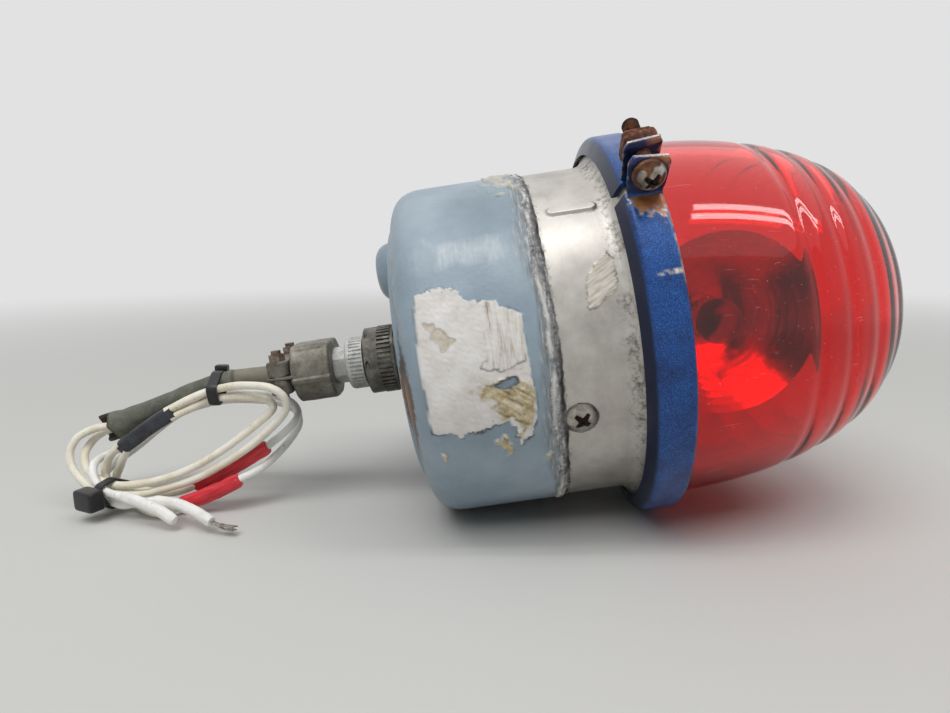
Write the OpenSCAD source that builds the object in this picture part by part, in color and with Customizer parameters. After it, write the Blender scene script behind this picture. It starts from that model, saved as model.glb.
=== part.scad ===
// Aviation beacon lamp: two lamps turn on a motor-driven carriage under a red glass dome.
// It lies on its side on a flat floor, dome towards +X, as its clamp band and its rear corner carry it.
// Millimetres. The lamp's own modules stand on their rear face, and lay() tips them over.

/* [Housing] */
// Outside diameter of the rear can
can_d = 108; // [104:1:112]
// Step from the can's outside in to the barrel's
barrel_step = 0.6; // [0.6:0.1:1]
// Sheet thickness of the can and the barrel
wall = 1.6; // [1.3:0.1:2]
// Outside radius of the can's rear corner
corner_r = 10.5; // [9:0.5:12]
// Length of the rear can, from its rear face to the seam
can_l = 41; // [39:1:45]
// Length of the barrel, from the seam to the clamp band's rear edge
barrel_l = 24.5; // [23:0.5:28]
// Length of the barrel's spigot inside the can
spigot_l = 7; // [5:0.5:8]
// Height of the sealant bead over the can
bead_h = 0.2; // [0.1:0.05:0.2]
// Width of the sealant bead
bead_w = 2.6; // [2:0.1:3]
// Height of the motor's bulge on the rear face
bulge_h = 8.5; // [6:0.5:9]
// Radius of the motor's bulge
bulge_r = 10; // [9:0.5:11]
// Length of the key rib pressed into the barrel
rib_l = 14; // [10:1:15]

/* [Clamp band] */
// Height of the clamp band's outer face over the can
band_rise = 8; // [7.5:0.5:10]
// Width of the band's outer face
band_w = 9.5; // [9:0.5:12]
// Sheet thickness of the band
band_t = 1.3; // [1:0.1:1.5]
// Radial depth of the band's rear leg
rear_leg = 5; // [4.5:0.5:6]
// Radial depth of the band's front leg
front_leg = 3.4; // [3:0.1:3.6]
// Place of the band's split, in degrees from the top towards the viewer
split_at = 46; // [30:1:60]
// Width of the split between the two lugs
split_w = 4; // [3:0.5:6]
// Height of the lugs over the band
lug_h = 12; // [11:0.5:14]
// Radius of the clamp screw's shank
clamp_screw_r = 2.4; // [2:0.1:3]
// Travel of the clamp screw when it is undone
clamp_travel = 5; // [3:0.5:6]

/* [Lens] */
// Step from the band's outer face in to the dome's outside
lens_in = 4; // [4:0.5:5.5]
// Length of the dome in front of its flange
lens_l = 76.5; // [70:0.5:84]
// Fullness of the dome: lower is blunter
lens_fullness = 0.283; // [0.25:0.01:0.35]
// Thickness of the glass
lens_t = 4; // [3:0.5:5]
// Depth of the rings moulded in front of the middle
ripple_h = 0.6; // [0.2:0.1:0.9]
// Number of moulded rings
ripples = 4; // [3:1:6]
// Thickness of the lens gasket
gasket_t = 2; // [1.5:0.5:3]

/* [Drive] */
// Gear module
gear_m = 0.8; // [0.7:0.1:0.8]
// Teeth on the carriage gear
gear_teeth = 57; // [55:2:59]
// Teeth on the motor pinion
pinion_teeth = 15; // [15:1:16]
// Face width of the gears
gear_w = 5; // [4:0.5:6]
// Radius of the carriage spindle
spindle_r = 4; // [3.5:0.1:4.5]
// Radius of the motor's case
motor_r = 16; // [14:0.5:16]
// Thickness of the chassis plate
plate_t = 2; // [1.5:0.5:3]
// Running clearance of the spindle, all around
run_gap = 0.05; // [0.03:0.01:0.08]

/* [Lamps] */
// Rim radius of each reflector
dish_r = 27; // [24:1:28]
// Focal length of each reflector
dish_f = 10; // [9:0.5:12]
// Radius of each lamp's glass
bulb_r = 7; // [6:0.5:8]
// Way the lamps face at rest, in degrees about the spindle
lamp_turn = 0; // [0:1:90]

/* [Connector] */
// Outside radius of the coupling nut
nut_r = 11.5; // [11:0.5:12]
// Radius of the receptacle's thread
thread_r = 10; // [9.5:0.1:10]
// Travel of the plug when the coupling nut is undone
plug_travel = 6; // [4:0.5:6]
// Outside radius of the knurled end bell
bell_r = 8.2; // [8:0.1:9]
// Outside radius of the cable clamp's body
clamp_r = 11; // [10:0.5:12]
// Radius of the boot where the saddles grip it
boot_r = 3.4; // [3:0.1:3.6]

/* [Harness] */
// Diameter of each wire
wire_d = 2.2; // [2:0.1:3]
// Diameter of the red sleeves
red_d = 4.2; // [3.8:0.1:4.2]
// Diameter of the white end sleeves
tail_d = 3.6; // [3.2:0.1:4.4]
// Thickness of the cable ties
tie_t = 1; // [0.8:0.1:1.4]

/* [Hidden] */
$fn = 64;
can_r = can_d / 2;
barrel_r = can_r - barrel_step;
band_r = can_r + band_rise;
lens_r = band_r - lens_in;
seat_gap = 0.15;       // between the clamped flanges and the band's legs
slip = 0.1;            // between pieces that are put together by hand
lie_gap = 0.02;        // between the sealant and what it lies on
can_in = can_r - wall;
inner_r = barrel_r - wall;

// Heights over the rear face
seam_z = can_l;
band_z = can_l + barrel_l;
band_end = band_z + band_w;
leg_run = 2.4;
front_run = 0.9;
rear_k = leg_run / rear_leg;
front_k = front_run / front_leg;
rear_skin = band_t * sqrt(1 + rear_k * rear_k);
front_skin = band_t * sqrt(1 + front_k * front_k);
flange_r = band_r - band_t - 0.4;
seat_z = band_z + 2.2;
lens_z = seat_z + gasket_t;
dome_z = front_in(lens_r) - seat_gap;
seat_r = inner_r + 1;

// Inner faces of the band's legs at radius r
function rear_in(r) = band_z - leg_run + rear_skin + rear_k * (r - band_r + rear_leg);
function front_in(r) = band_end - front_skin + front_k * (band_r - r);

// Chassis, motor and gears
plate_z = seam_z + 9;
plate_top = plate_z + plate_t;
rim_z = seam_z + 2.5;
screw_z = seam_z + 5.6;
screw_angles = [107, 197, 287];
rib_at = 42;
rib_w = 3.4;
rib_h = 0.8;
spigot_gap = 0.05;
screw_r = 2;
head_r = 4.6;
head_h = 2.1;
screw_l = 7;
gear_r = gear_m * gear_teeth / 2;
pinion_r = gear_m * pinion_teeth / 2;
shaft_off = gear_r + pinion_r;
gear_z = plate_top + 3;
table_z = gear_z + gear_w + 4;
table_t = 2;
table_r = 42;
bush_r = 7;
bush_flange = 1.5;
drum_r = 9;
ring_t = 0.4;
drum_l = 14;
drum_z = plate_z - 8 - drum_l;
motor_z = 5;
bulge_corner = 7;
boss_over = 1.4;
boss_gap = 0.6;
rear_bead_at = 42;
rear_bead_r = 1.4;
wire_pitch = 1.9;
motor_screw_y = 10;
motor_screw_r = 1.45;
motor_screw_l = 5;
motor_head_r = 2.6;
motor_head_h = 1.6;
shaft_r = 2;
shaft_in = 19;
brush_y = 15;
block_w = 14;
block_t = 9;
brush_w = 4;
brush_h = 3;
brush_in = 4;
ring_edge = 2;
ring_w = 4;
ring_pitch = 6;
function brush_z(i) = drum_z + ring_edge + (ring_w - brush_h) / 2 + ring_pitch * i;
filter_r = 12;
filter_off = 35;
filter_side = 2.6;
filter_z = 9;
lead_d = 2;

// Reflectors and lamps
lamp_z = table_z + table_t + dish_r + 2.5;
post_t = 3;
post_w = 28;
post_over = 10;
foot_w = 8;
dish_back = 10;
neck_r = 6;
dish_t = 1;
function dish_y(r) = dish_back + r * r / (4 * dish_f);

// Connector along the axis behind the rear face, in negative heights
flange_t = 2.4;
ear_off = 14;
ear_screw_r = 1.6;
ear_screw_l = 3;
ear_head_r = 2.9;
ear_head_h = 1.5;
shell_l = 10.6;
shell_end = -flange_t - shell_l;
nut_front = shell_end + plug_travel + 0.5;
nut_lip = shell_end - 1.6;
nut_end = nut_lip - 1.9;
neck_plug = 7.5;
bell_z = nut_end - 0.6;
bell_l = 6.4;
hex_l = 4.6;
body_z = bell_z - bell_l - hex_l;
body_l = 13.3;
arm_z = body_z - body_l;
saddle_l = 8;
saddle_t = 5.2;
saddle_w = 22;
saddle_off = 8.2;
saddle_screw_r = 1.6;
saddle_screw_l = 13;
saddle_screw_over = 3.5;
saddle_nut_r = 2.7;
saddle_nut_h = 2.2;
arm_t = 1;
arm_w = 6;
pin_r = 1.2;
pin_ring = 4;

// Lie of the lamp on the floor: a line that touches the band's rear edge and the can's rear corner
rest_s = band_z - corner_r;
rest_r = band_r - can_r + corner_r;
lean = atan(rest_r / rest_s) - asin(corner_r / norm([rest_s, rest_r]));
rear_z = corner_r - corner_r * sin(lean) + (can_r - corner_r) * cos(lean);
low_x = shell_end * cos(lean) - thread_r * sin(lean);
high_x = max([for (i = [0:40]) dome_at(i / 40)[1] * cos(lean) + dome_at(i / 40)[0] * sin(lean)]);
mid_x = (low_x + high_x) / 2;

// Dome outline: radius and height at t from 0 at the flange to 1 at the tip
function dome_at(t, cut = 0) =
    let (u = sin(90 * t))
    [(lens_r - cut) * pow(max(0, 1 - u * u), lens_fullness), dome_z + (lens_l - cut) * u];
// Depth of the moulded rings at t, between two shares of the dome's length
ring_from = 0.41;
ring_to = 0.92;
function ring_turn(t) = (sin(90 * t) - ring_from) / (ring_to - ring_from);
function ripple(t) = let (k = ring_turn(t)) k < 0 || k > 1 ? 0 :
    ripple_h * pow((1 - cos(360 * ripples * k)) / 2, 3);

// Tips the upright lamp over onto the floor
module lay() translate([-mid_x, 0, rear_z]) rotate([0, 90 - lean, 0]) children();
// Floor frame of the harness: below the middle of the rear face
module harness() translate([-mid_x, 0, 0]) children();
// Turns +X to an angle from the top towards the viewer
module facing(angle) rotate([0, 0, 180 + angle]) children();
module tube(r, bore, h) difference() {
    cylinder(r = r, h = h);
    translate([0, 0, -1]) cylinder(r = bore, h = h + 2);
}

// Side outline of a cup that stands on its closed, round-cornered end
module cup_outline(r, h, corner) {
    square([r - corner, h]);
    translate([0, corner]) square([r, h - corner]);
    translate([r - corner, corner]) circle(corner);
}
module cup(r, h, corner) rotate_extrude() intersection() {
    cup_outline(r, h, corner);
    square([r, h]);
}

// Screw along +X with its head's seat at the origin
module screw(shank_r, shank_l, h_r, h_h) {
    dome = (h_r * h_r + h_h * h_h) / (2 * h_h);
    rotate([0, 90, 0]) difference() {
        union() {
            translate([0, 0, -shank_l]) cylinder(r = shank_r, h = shank_l + 0.1);
            intersection() {
                translate([0, 0, h_h - dome]) sphere(dome);
                cylinder(r = h_r, h = h_h);
            }
        }
        for (a = [0, 90]) rotate([0, 0, a]) translate([-h_r * 0.5, -h_r * 0.12, h_h * 0.45])
            cube([h_r, h_r * 0.24, h_h]);
    }
}

// Cross section with n grip notches
module knurled(r, n, depth) {
    pitch = 360 / n;
    polygon([for (i = [0:n - 1], c = [[r, 0], [r, 0.5], [r - depth, 0.6], [r - depth, 0.9]])
        c[0] * [cos((i + c[1]) * pitch), sin((i + c[1]) * pitch)]]);
}

// Involute gear cross section: each flank is worked out at four radii
pressure = 20;
backlash = 0.08;
function involute(a) = tan(a) * 180 / PI - a;
function flank(r, base, half) = half + involute(pressure) - involute(acos(min(1, base / r)));
module gear(teeth) {
    pitch_r = gear_m * teeth / 2;
    base = pitch_r * cos(pressure);
    root = pitch_r - 1.25 * gear_m;
    tip = pitch_r + 0.9 * gear_m;
    low = max(root, base);
    half = 90 / teeth - backlash / pitch_r * 180 / PI;
    radii = [for (i = [0:3]) low + (tip - low) * i / 3];
    side = concat([[root, flank(low, base, half)]], [for (r = radii) [r, flank(r, base, half)]]);
    n = len(side);
    polygon([for (k = [0:teeth - 1], i = [0:2 * n - 1])
        let (s = i < n ? side[i] : side[2 * n - 1 - i], a = 360 * k / teeth + (i < n ? -s[1] : s[1]))
        s[0] * [cos(a), sin(a)]]);
}

// Smooth curve through hand-chosen points, with n steps between each two
function knot(p, i) = i < 0 ? 2 * p[0] - p[1] : i >= len(p) ? 2 * p[len(p) - 1] - p[len(p) - 2] : p[i];
function between(a, b, c, d, t) =
    (2 * b + (c - a) * t + (2 * a - 5 * b + 4 * c - d) * t * t + (3 * b - a - 3 * c + d) * t * t * t) / 2;
function curve(p, n) = concat([for (i = [0:len(p) - 2], k = [0:n - 1])
    between(knot(p, i - 1), p[i], p[i + 1], knot(p, i + 2), k / n)], [p[len(p) - 1]]);
function unit(v) = v / norm(v);
function along(p, i) = unit(p[min(i + 1, len(p) - 1)] - p[max(i - 1, 0)]);
function square_to(v, t) = unit(v - (v * t) * t);
// Side vectors carried along a path without twist
function sides_of(p, first) =
    [for (i = 0, v = square_to(first, along(p, 0)); i < len(p);
        i = i + 1, v = square_to(v, along(p, min(i, len(p) - 1)))) v];
function ring_at(c, t, v, ra, rb, n) =
    [for (k = [0:n - 1]) c + ra * cos(360 * k / n) * v + rb * sin(360 * k / n) * cross(t, v)];
function rings_of(p, ra, rb, n, first = [0, 1, 0]) = let (v = sides_of(p, first))
    [for (i = [0:len(p) - 1]) ring_at(p[i], along(p, i), v[i], ra[i], rb[i], n)];
function each_of(p, value) = [for (q = p) value];
// Solid through a row of rings, all of triangles
module loft(rings) {
    n = len(rings[0]);
    m = len(rings);
    walls = [for (i = [0:m - 2], k = [0:n - 1], half = [0, 1])
        let (a = i * n + k, b = i * n + (k + 1) % n)
        half == 0 ? [a, a + n, b] : [b, a + n, b + n]];
    start = [for (k = [1:n - 2]) [0, k, k + 1]];
    end = [for (k = [1:n - 2]) (m - 1) * n * [1, 1, 1] + [0, k + 1, k]];
    polyhedron([for (r = rings, q = r) q], concat(walls, start, end));
}
module cord(p, d, n = 8) loft(rings_of(p, each_of(p, d / 2), each_of(p, d / 2), n));

// Harness routes, in the floor frame
function axis_at(s) = [s * cos(lean), 0, rear_z + s * sin(lean)];
boot_path = curve([axis_at(arm_z + 2), axis_at(arm_z - 4), axis_at(arm_z - 11), [-66, 0, 43], [-76, 0, 40],
    [-87, 0, 35], [-101, 0, 29], [-112, 0, 25]], 2);
supply_a = curve([[-101, -1.75, 29.5], [-107, -1.75, 27.5], [-112.5, -2, 26.5], [-117.5, -4, 24],
    [-119.5, -6, 19.5], [-118, -8, 14.5], [-114, -10, 10.5], [-108.5, -12.5, 8], [-101, -13, 7],
    [-92.5, -13, 7], [-83.5, -13, 9],
    [-74, -12, 12], [-64.5, -11, 17], [-56, -10, 22.5], [-49.5, -10, 28], [-44.5, -11, 33], [-42.5, -12, 37],
    [-43.5, -13, 41], [-48, -13, 43.5], [-55, -10.5, 43.5], [-62, -8.5, 43], [-70, -7.5, 41], [-76.5, -7.5, 39],
    [-84.5, -8, 34.5]], 2);
supply_b = curve([[-101, 1.75, 28.5], [-107, 1.75, 26], [-112, 1.5, 24], [-115, 0, 21.5], [-116, -3.5, 18],
    [-114, -7, 14.5], [-110.5, -9, 12], [-104.5, -12, 11], [-98, -13, 10.5],
    [-90.5, -13, 11], [-82, -13, 13], [-73.5, -12, 16.5],
    [-65, -11, 21.5], [-58, -10, 26.5], [-53, -9, 30.5], [-49.5, -8, 33.5], [-48.5, -7, 35.5], [-50, -7, 37.5],
    [-54, -7, 38.5], [-59.5, -7, 38.5], [-65.5, -7.5, 38], [-71, -7.5, 37],
    [-76, -7.5, 35], [-82.5, -8, 31.5]], 2);
splice_path = curve([[-82, -8, 34], [-88.5, -8, 30], [-95, -8, 25.5], [-101, -8, 21]], 2);
link_a = curve([[-101.5, -8, 23], [-105.5, -7, 18], [-107.5, -6, 14], [-107.5, -6.5, 10.5], [-105, -7.5, 8.5],
    [-98.5, -7.5, 7.5], [-90.5, -8, 5.5], [-83, -8, 5.5], [-75, -7.5, 8.5]], 2);
link_b = curve([[-98.5, -8, 20.5], [-101.5, -7, 16.5], [-104, -4, 13], [-106, -2.5, 9], [-105.5, -4, 5.5],
    [-100.5, -8.5, 4], [-95, -12, 2.5], [-90, -15.5, 2], [-85.5, -17.5, 2], [-81.5, -16, 2.5], [-78, -13, 4]], 2);
red_a = curve([[-77, -7.5, 7.5], [-70, -7.5, 10.5], [-61.5, -6.5, 15], [-51.5, -6, 21]], 2);
red_b = curve([[-79.5, -13.5, 3.5], [-73, -13.5, 5.5], [-65.5, -13, 8.5], [-59.5, -12, 11.5]], 2);
tail_a = curve([[-53, -6, 20], [-46.5, -4, 25], [-43.5, -1, 28], [-43, 3, 30.5], [-46, 6, 33.5], [-52.5, 8, 35.5],
    [-59.5, 8, 36.5], [-68.5, 8, 36.5], [-77.5, 8, 35], [-87, 8, 31.5], [-96, 7, 25.5], [-103, 4, 20],
    [-108, 0.5, 17.5], [-110.5, -4, 16.5], [-110, -9.5, 16], [-108, -14, 13], [-103.5, -17, 9.5],
    [-97, -19.5, 9], [-93, -20.5, 8.5]], 2);
tail_b = curve([[-61, -12.5, 11], [-53.5, -8, 14], [-48.5, -2, 18], [-45, 4, 22.5], [-44, 7.5, 26],
    [-46.5, 11, 29.5], [-52.5, 12, 32], [-61, 12, 33], [-70.5, 12, 33], [-79.5, 12, 31.5], [-89, 12, 28],
    [-97.5, 11, 22], [-104, 8, 16.5], [-110, 4, 12], [-113, -1, 8], [-112, -6, 5], [-106.5, -11.5, 3.5],
    [-99, -16, 3.5], [-92, -17.5, 5.5], [-84, -18.5, 7]], 2);
end_a = curve([[-95, -20, 9], [-88.5, -22.5, 8], [-81, -25, 6], [-75.5, -27, 3.5]], 2);
end_b = curve([[-86, -18, 6.5], [-77, -21, 6.5], [-69.5, -25, 5.5], [-63, -29, 4]], 2);
strand_path = [[-64, -28.5, 4], [-61, -29.5, 3], [-58, -30, 2], [-55, -30.5, 1.5]];

// Least distance between the surfaces of two cords, and of a cord to its own other turns
cords = [[supply_a, wire_d], [supply_b, wire_d], [link_a, wire_d], [link_b, wire_d], [tail_a, wire_d],
    [tail_b, wire_d], [red_a, red_d], [red_b, red_d], [end_a, tail_d], [end_b, tail_d]];
joined = [[2, 6], [3, 7], [4, 6], [5, 7], [4, 8], [5, 9]];
function least(a, b) = min([for (p = a[0], q = b[0]) norm(p - q)]) - (a[1] + b[1]) / 2;
function least_self(p) = min([for (i = [0:len(p) - 7], j = [i + 6:len(p) - 1]) norm(p[i] - p[j])]) - wire_d;
function apart(i, j) = len([for (q = joined) if (q == [i, j]) q]) == 0;
echo(least_gap_to_itself = min([for (c = [0:5]) least_self(cords[c][0])]));
echo(least_gap_between = min([for (i = [0:8], j = [i + 1:9]) if (apart(i, j)) least(cords[i], cords[j])]));

// Housing

module rear_can() lay() color("#7f8b94") difference() {
    union() {
        difference() {
            cup(can_r, can_l, corner_r);
            translate([0, 0, wall]) cup(can_in, can_l, corner_r - wall);
        }
        translate([-shaft_off, 0, wall]) mirror([0, 0, 1]) cup(bulge_r, bulge_h + wall, bulge_corner);
        rotate_extrude() translate([rear_bead_at, 0]) circle(rear_bead_r);
    }
    translate([-shaft_off, 0, wall + 0.01]) mirror([0, 0, 1])
        cup(bulge_r - wall, bulge_h + 0.01, bulge_corner - wall);
    translate([0, 0, -1]) cylinder(r = thread_r, h = wall + 2);
    for (side = [-1, 1]) translate([0, side * ear_off, -1]) cylinder(r = ear_screw_r + slip, h = wall + 2);
}

module seam_sealant() lay() color("#4d4a44") rotate_extrude() polygon([
    [barrel_r + lie_gap, seam_z + lie_gap], [can_r + bead_h, seam_z + lie_gap],
    [barrel_r + lie_gap, seam_z + bead_w]]);

module barrel() lay() color("#b9b7b2") difference() {
    union() {
        rotate_extrude() polygon([
            [can_in - spigot_gap - wall, seam_z - spigot_l], [can_in - spigot_gap, seam_z - spigot_l],
            [can_in - spigot_gap, seam_z], [barrel_r, seam_z], [barrel_r, rear_in(barrel_r) + seat_gap],
            [flange_r, rear_in(flange_r) + seat_gap], [flange_r, seat_z], [inner_r, seat_z],
            [inner_r, seam_z + wall], [can_in - spigot_gap - wall, seam_z]]);
        facing(rib_at) translate([barrel_r - wall / 2, -rib_w / 2, screw_z - 1])
            cube([wall / 2 + rib_h, rib_w, rib_l]);
    }
    for (a = screw_angles) facing(a) translate([inner_r - 4, 0, screw_z]) rotate([0, 90, 0])
        cylinder(r = screw_r + slip, h = 10);
}

module barrel_screws() lay() color("#a8a49a") for (a = screw_angles) facing(a)
    translate([barrel_r + slip / 2, 0, screw_z]) screw(screw_r, screw_l, head_r, head_h);

// Clamp band

lug_t = 1.6;
clamp_screw_x = band_r + lug_h * 0.6;
clamp_screw_z = band_z + band_w / 2;
lug_out = split_w / 2 + lug_t;
washer_t = 1;
clamp_head_r = 4.3;
clamp_head_h = 3.4;
clamp_nut_t = 6;
clamp_nut_w = 10;

module clamp_band() lay() color("#2f55a0") facing(split_at) difference() {
    union() {
        rotate_extrude() polygon([
            [band_r - rear_leg, band_z - leg_run], [band_r, band_z], [band_r, band_end],
            [band_r - front_leg, band_end + front_run], [band_r - front_leg, front_in(band_r - front_leg)],
            [band_r - band_t, front_in(band_r - band_t)], [band_r - band_t, rear_in(band_r - band_t)],
            [band_r - rear_leg, rear_in(band_r - rear_leg)]]);
        translate([band_r - band_t, -lug_out, band_z]) cube([lug_h + band_t, 2 * lug_out, band_w]);
    }
    translate([band_r - rear_leg - 1, -split_w / 2, band_z - leg_run - 1])
        cube([lug_h + rear_leg + 3, split_w, band_w + leg_run + front_run + 2]);
    translate([clamp_screw_x, 0, clamp_screw_z]) rotate([90, 0, 0])
        cylinder(r = clamp_screw_r + slip, h = 4 * lug_out, center = true);
}

// Frame of the clamp screw: the origin on the nearer lug's outer face, +X out towards the viewer
module on_lug() facing(split_at) translate([clamp_screw_x, lug_out, clamp_screw_z])
    rotate([0, 0, 90]) children();

module clamp_washer() lay() color("#8a5a3c") on_lug() translate([slip, 0, 0]) rotate([0, 90, 0])
    tube(clamp_head_r, clamp_screw_r + run_gap, washer_t);
module clamp_screw() lay() color("#9c948a") on_lug() translate([washer_t + 2 * slip, 0, 0])
    screw(clamp_screw_r, 2 * lug_out + clamp_nut_t + washer_t + clamp_travel, clamp_head_r,
        clamp_head_h);
module clamp_nut() lay() color("#7a4a30") on_lug() translate([-2 * lug_out - clamp_nut_t, 0, 0])
    rotate([0, 90, 0]) difference() {
        translate([-clamp_nut_w / 2, -clamp_nut_w / 2, 0]) cube([clamp_nut_w, clamp_nut_w, clamp_nut_t]);
        translate([0, 0, -1]) cylinder(r = clamp_screw_r + run_gap, h = clamp_nut_t + 2);
    }

// Lens

module lens() lay() color("#c4161c", 0.6) rotate_extrude() polygon(concat(
    [[seat_r, lens_z], [flange_r, lens_z], [flange_r, front_in(flange_r) - seat_gap]],
    [for (i = [0:120]) let (p = dome_at(i / 120)) [p[0] - ripple(i / 120), p[1]]],
    [for (i = [30:-1:0]) dome_at(i / 30, lens_t)],
    [[seat_r, dome_z - 2]]));

module lens_gasket() lay() color("#2b2b2b") translate([0, 0, seat_z]) tube(flange_r, seat_r, gasket_t);

// Chassis and drive

module chassis_plate() lay() color("#a9a58f") difference() {
    union() {
        translate([0, 0, plate_z]) cylinder(r = inner_r - slip, h = plate_t);
        translate([0, 0, rim_z]) tube(inner_r - slip, inner_r - slip - wall, plate_top - rim_z);
    }
    translate([0, 0, plate_z - 1]) cylinder(r = bush_r, h = plate_t + 2);
    translate([-shaft_off, 0, plate_z - 1]) cylinder(r = 2 * shaft_r, h = plate_t + 2);
    for (side = [-1, 1]) translate([-shaft_off, side * motor_screw_y, plate_z - 1])
        cylinder(r = motor_screw_r + slip, h = plate_t + 2);
    for (a = screw_angles) facing(a) translate([inner_r - 6, 0, screw_z]) rotate([0, 90, 0])
        cylinder(r = screw_r + slip, h = 10);
}

module drive_motor() lay() color("#6b6f73") translate([-shaft_off, 0, 0]) difference() {
    union() {
        translate([0, 0, motor_z]) cylinder(r = motor_r - 0.5, h = plate_z - motor_z);
        translate([0, 0, wall + boss_gap - bulge_h])
            cylinder(r = bulge_r - bulge_corner + boss_over, h = motor_z + bulge_h - wall);
    }
    for (side = [-1, 1]) translate([0, side * motor_screw_y, plate_z - motor_screw_l - 1])
        cylinder(r = motor_screw_r + run_gap, h = motor_screw_l + 2);
    translate([0, 0, plate_z - shaft_in - 1]) cylinder(r = shaft_r + run_gap, h = shaft_in + 2);
}

module motor_screws() lay() color("#b5b2aa") for (side = [-1, 1])
    translate([-shaft_off, side * motor_screw_y, plate_top]) rotate([0, -90, 0])
        screw(motor_screw_r, plate_t + motor_screw_l, motor_head_r, motor_head_h);

module motor_pinion() lay() color("#c9a85a") translate([-shaft_off, 0, 0]) {
    translate([0, 0, plate_z - shaft_in]) cylinder(r = shaft_r, h = gear_z - plate_z + shaft_in + 1);
    translate([0, 0, gear_z]) linear_extrude(gear_w) gear(pinion_teeth);
}

module carriage_gear() lay() color("#c2a15a") translate([0, 0, gear_z]) difference() {
    union() {
        linear_extrude(gear_w) gear(gear_teeth);
        cylinder(r = 8, h = table_z - gear_z);
        translate([0, 0, plate_top + bush_flange + slip - gear_z]) cylinder(r = 8, h = 3);
    }
    translate([0, 0, -5]) cylinder(r = spindle_r, h = 40);
}

module carriage_spindle() lay() color("#b8bcc0") {
    translate([0, 0, drum_z - 2]) cylinder(r = spindle_r, h = table_z + table_t + 4 - drum_z);
}

module spindle_bush() lay() color("#b08d4a") difference() {
    union() {
        translate([0, 0, plate_z - 6]) cylinder(r = bush_r, h = plate_t + 6);
        translate([0, 0, plate_top]) cylinder(r = bush_r + 3, h = bush_flange);
    }
    translate([0, 0, plate_z - 10]) cylinder(r = spindle_r + run_gap, h = 40);
}

module spindle_clip() lay() color("#8d9196") translate([0, 0, plate_z - 6 - slip - 1.2])
    tube(spindle_r + 2.5, spindle_r, 1.2);

module slip_drum() lay() color("#5a3a22") translate([0, 0, drum_z]) tube(drum_r, spindle_r, drum_l);
module slip_rings() lay() color("#c58f4a") for (i = [0, 1])
    translate([0, 0, drum_z + ring_edge + ring_pitch * i]) tube(drum_r + ring_t, drum_r, ring_w);

module brush_block() lay() color("#3a2a1e") difference() {
    translate([-block_w / 2, brush_y, drum_z - ring_edge]) cube([block_w, block_t, plate_z - drum_z + ring_edge]);
    for (i = [0, 1]) translate([-brush_w / 2, brush_y - 1, brush_z(i)]) cube([brush_w, brush_in + 1, brush_h]);
}
module brushes() lay() color("#2a2a2c") for (i = [0, 1])
    translate([-brush_w / 2, drum_r + ring_t + slip, brush_z(i)])
        cube([brush_w, brush_y + brush_in - drum_r - ring_t - slip, brush_h]);

module noise_filter() lay() color("#9a9d9c") translate([filter_off, filter_side, filter_z])
    cylinder(r = filter_r, h = plate_z - filter_z);

// Leads from the contact pins to the brushes, the filter and the motor
lead_routes = [
    [[0, pin_ring, 14.5], [0, 5, 17], [0, 10, 16], [0, 16, 14.5], [0, 19, 16.5], [0, 19.5, drum_z - 2]],
    [[pin_ring * cos(30), -2, 14.5], [4, -3, 17], [10, -4, 14], [17, -3, 8], [24, -1, 6], [29, 0, filter_z]],
    [[-pin_ring * cos(30), -2, 14.5], [-4.5, -3, 17], [-8, -3.5, 18], [-11, -2.5, 18], [-14.5, -1.5, 18]]];
module inner_leads() lay() color("#b5562f") for (p = lead_routes) cord(curve(p, 3), lead_d, 6);

// Lamps on the carriage

module lamp_table() lay() color("#8f959a") difference() {
    translate([0, 0, table_z]) cylinder(r = table_r, h = table_t);
    translate([0, 0, table_z - 1]) cylinder(r = spindle_r, h = table_t + 2);
}

module lamp_post() lay() color("#9aa0a4") rotate([0, 0, lamp_turn]) difference() {
    union() {
        translate([-post_w / 2, -post_t / 2, table_z + table_t])
            cube([post_w, post_t, lamp_z - table_z + post_over]);
        for (side = [-1, 1]) translate([-post_w / 2, (side - 1) * foot_w / 2, table_z + table_t])
            cube([post_w, foot_w, table_t]);
    }
    translate([0, 0, table_z]) cylinder(r = spindle_r + slip, h = 9);
    translate([0, 0, lamp_z]) rotate([90, 0, 0]) cylinder(r = neck_r - 1, h = 20, center = true);
}

// Frame of one lamp: its beam axis along +Z
module beam(side) rotate([0, 0, lamp_turn]) translate([0, 0, lamp_z])
    rotate([side * -90, 0, 0]) children();

module reflector(side) beam(side) difference() {
    rotate_extrude() polygon(concat(
        [for (i = [0:12]) let (r = neck_r + (dish_r - neck_r) * i / 12) [r, dish_y(r)]],
        [for (i = [12:-1:0]) let (r = neck_r + (dish_r - neck_r) * i / 12) [r, dish_y(r) - dish_t * 1.4]]));
    translate([0, 0, -1]) cylinder(r = neck_r, h = 4);
}
module reflector_a() lay() color("#d9dde0") reflector(-1);
module reflector_b() lay() color("#d9dde0") reflector(1);

module lamp_sockets() lay() color("#c7b27a") for (side = [-1, 1]) beam(side) {
    translate([0, 0, post_t / 2]) cylinder(r = neck_r - 0.05, h = dish_back + 3 - post_t / 2);
    translate([0, 0, post_t / 2]) cylinder(r = neck_r + 2.5, h = 6);
}

module lamp(side) beam(side) translate([0, 0, dish_back + 3]) {
    cylinder(r = 3, h = 4);
    translate([0, 0, 2 + bulb_r]) sphere(bulb_r);
}
module lamp_a() lay() color("#efe9d8") lamp(-1);
module lamp_b() lay() color("#efe9d8") lamp(1);

// Receptacle on the rear face

pin_angles = [90, 210, 330];
module at_pins() for (a = pin_angles) rotate([0, 0, a]) translate([pin_ring, 0, 0]) children();

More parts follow.
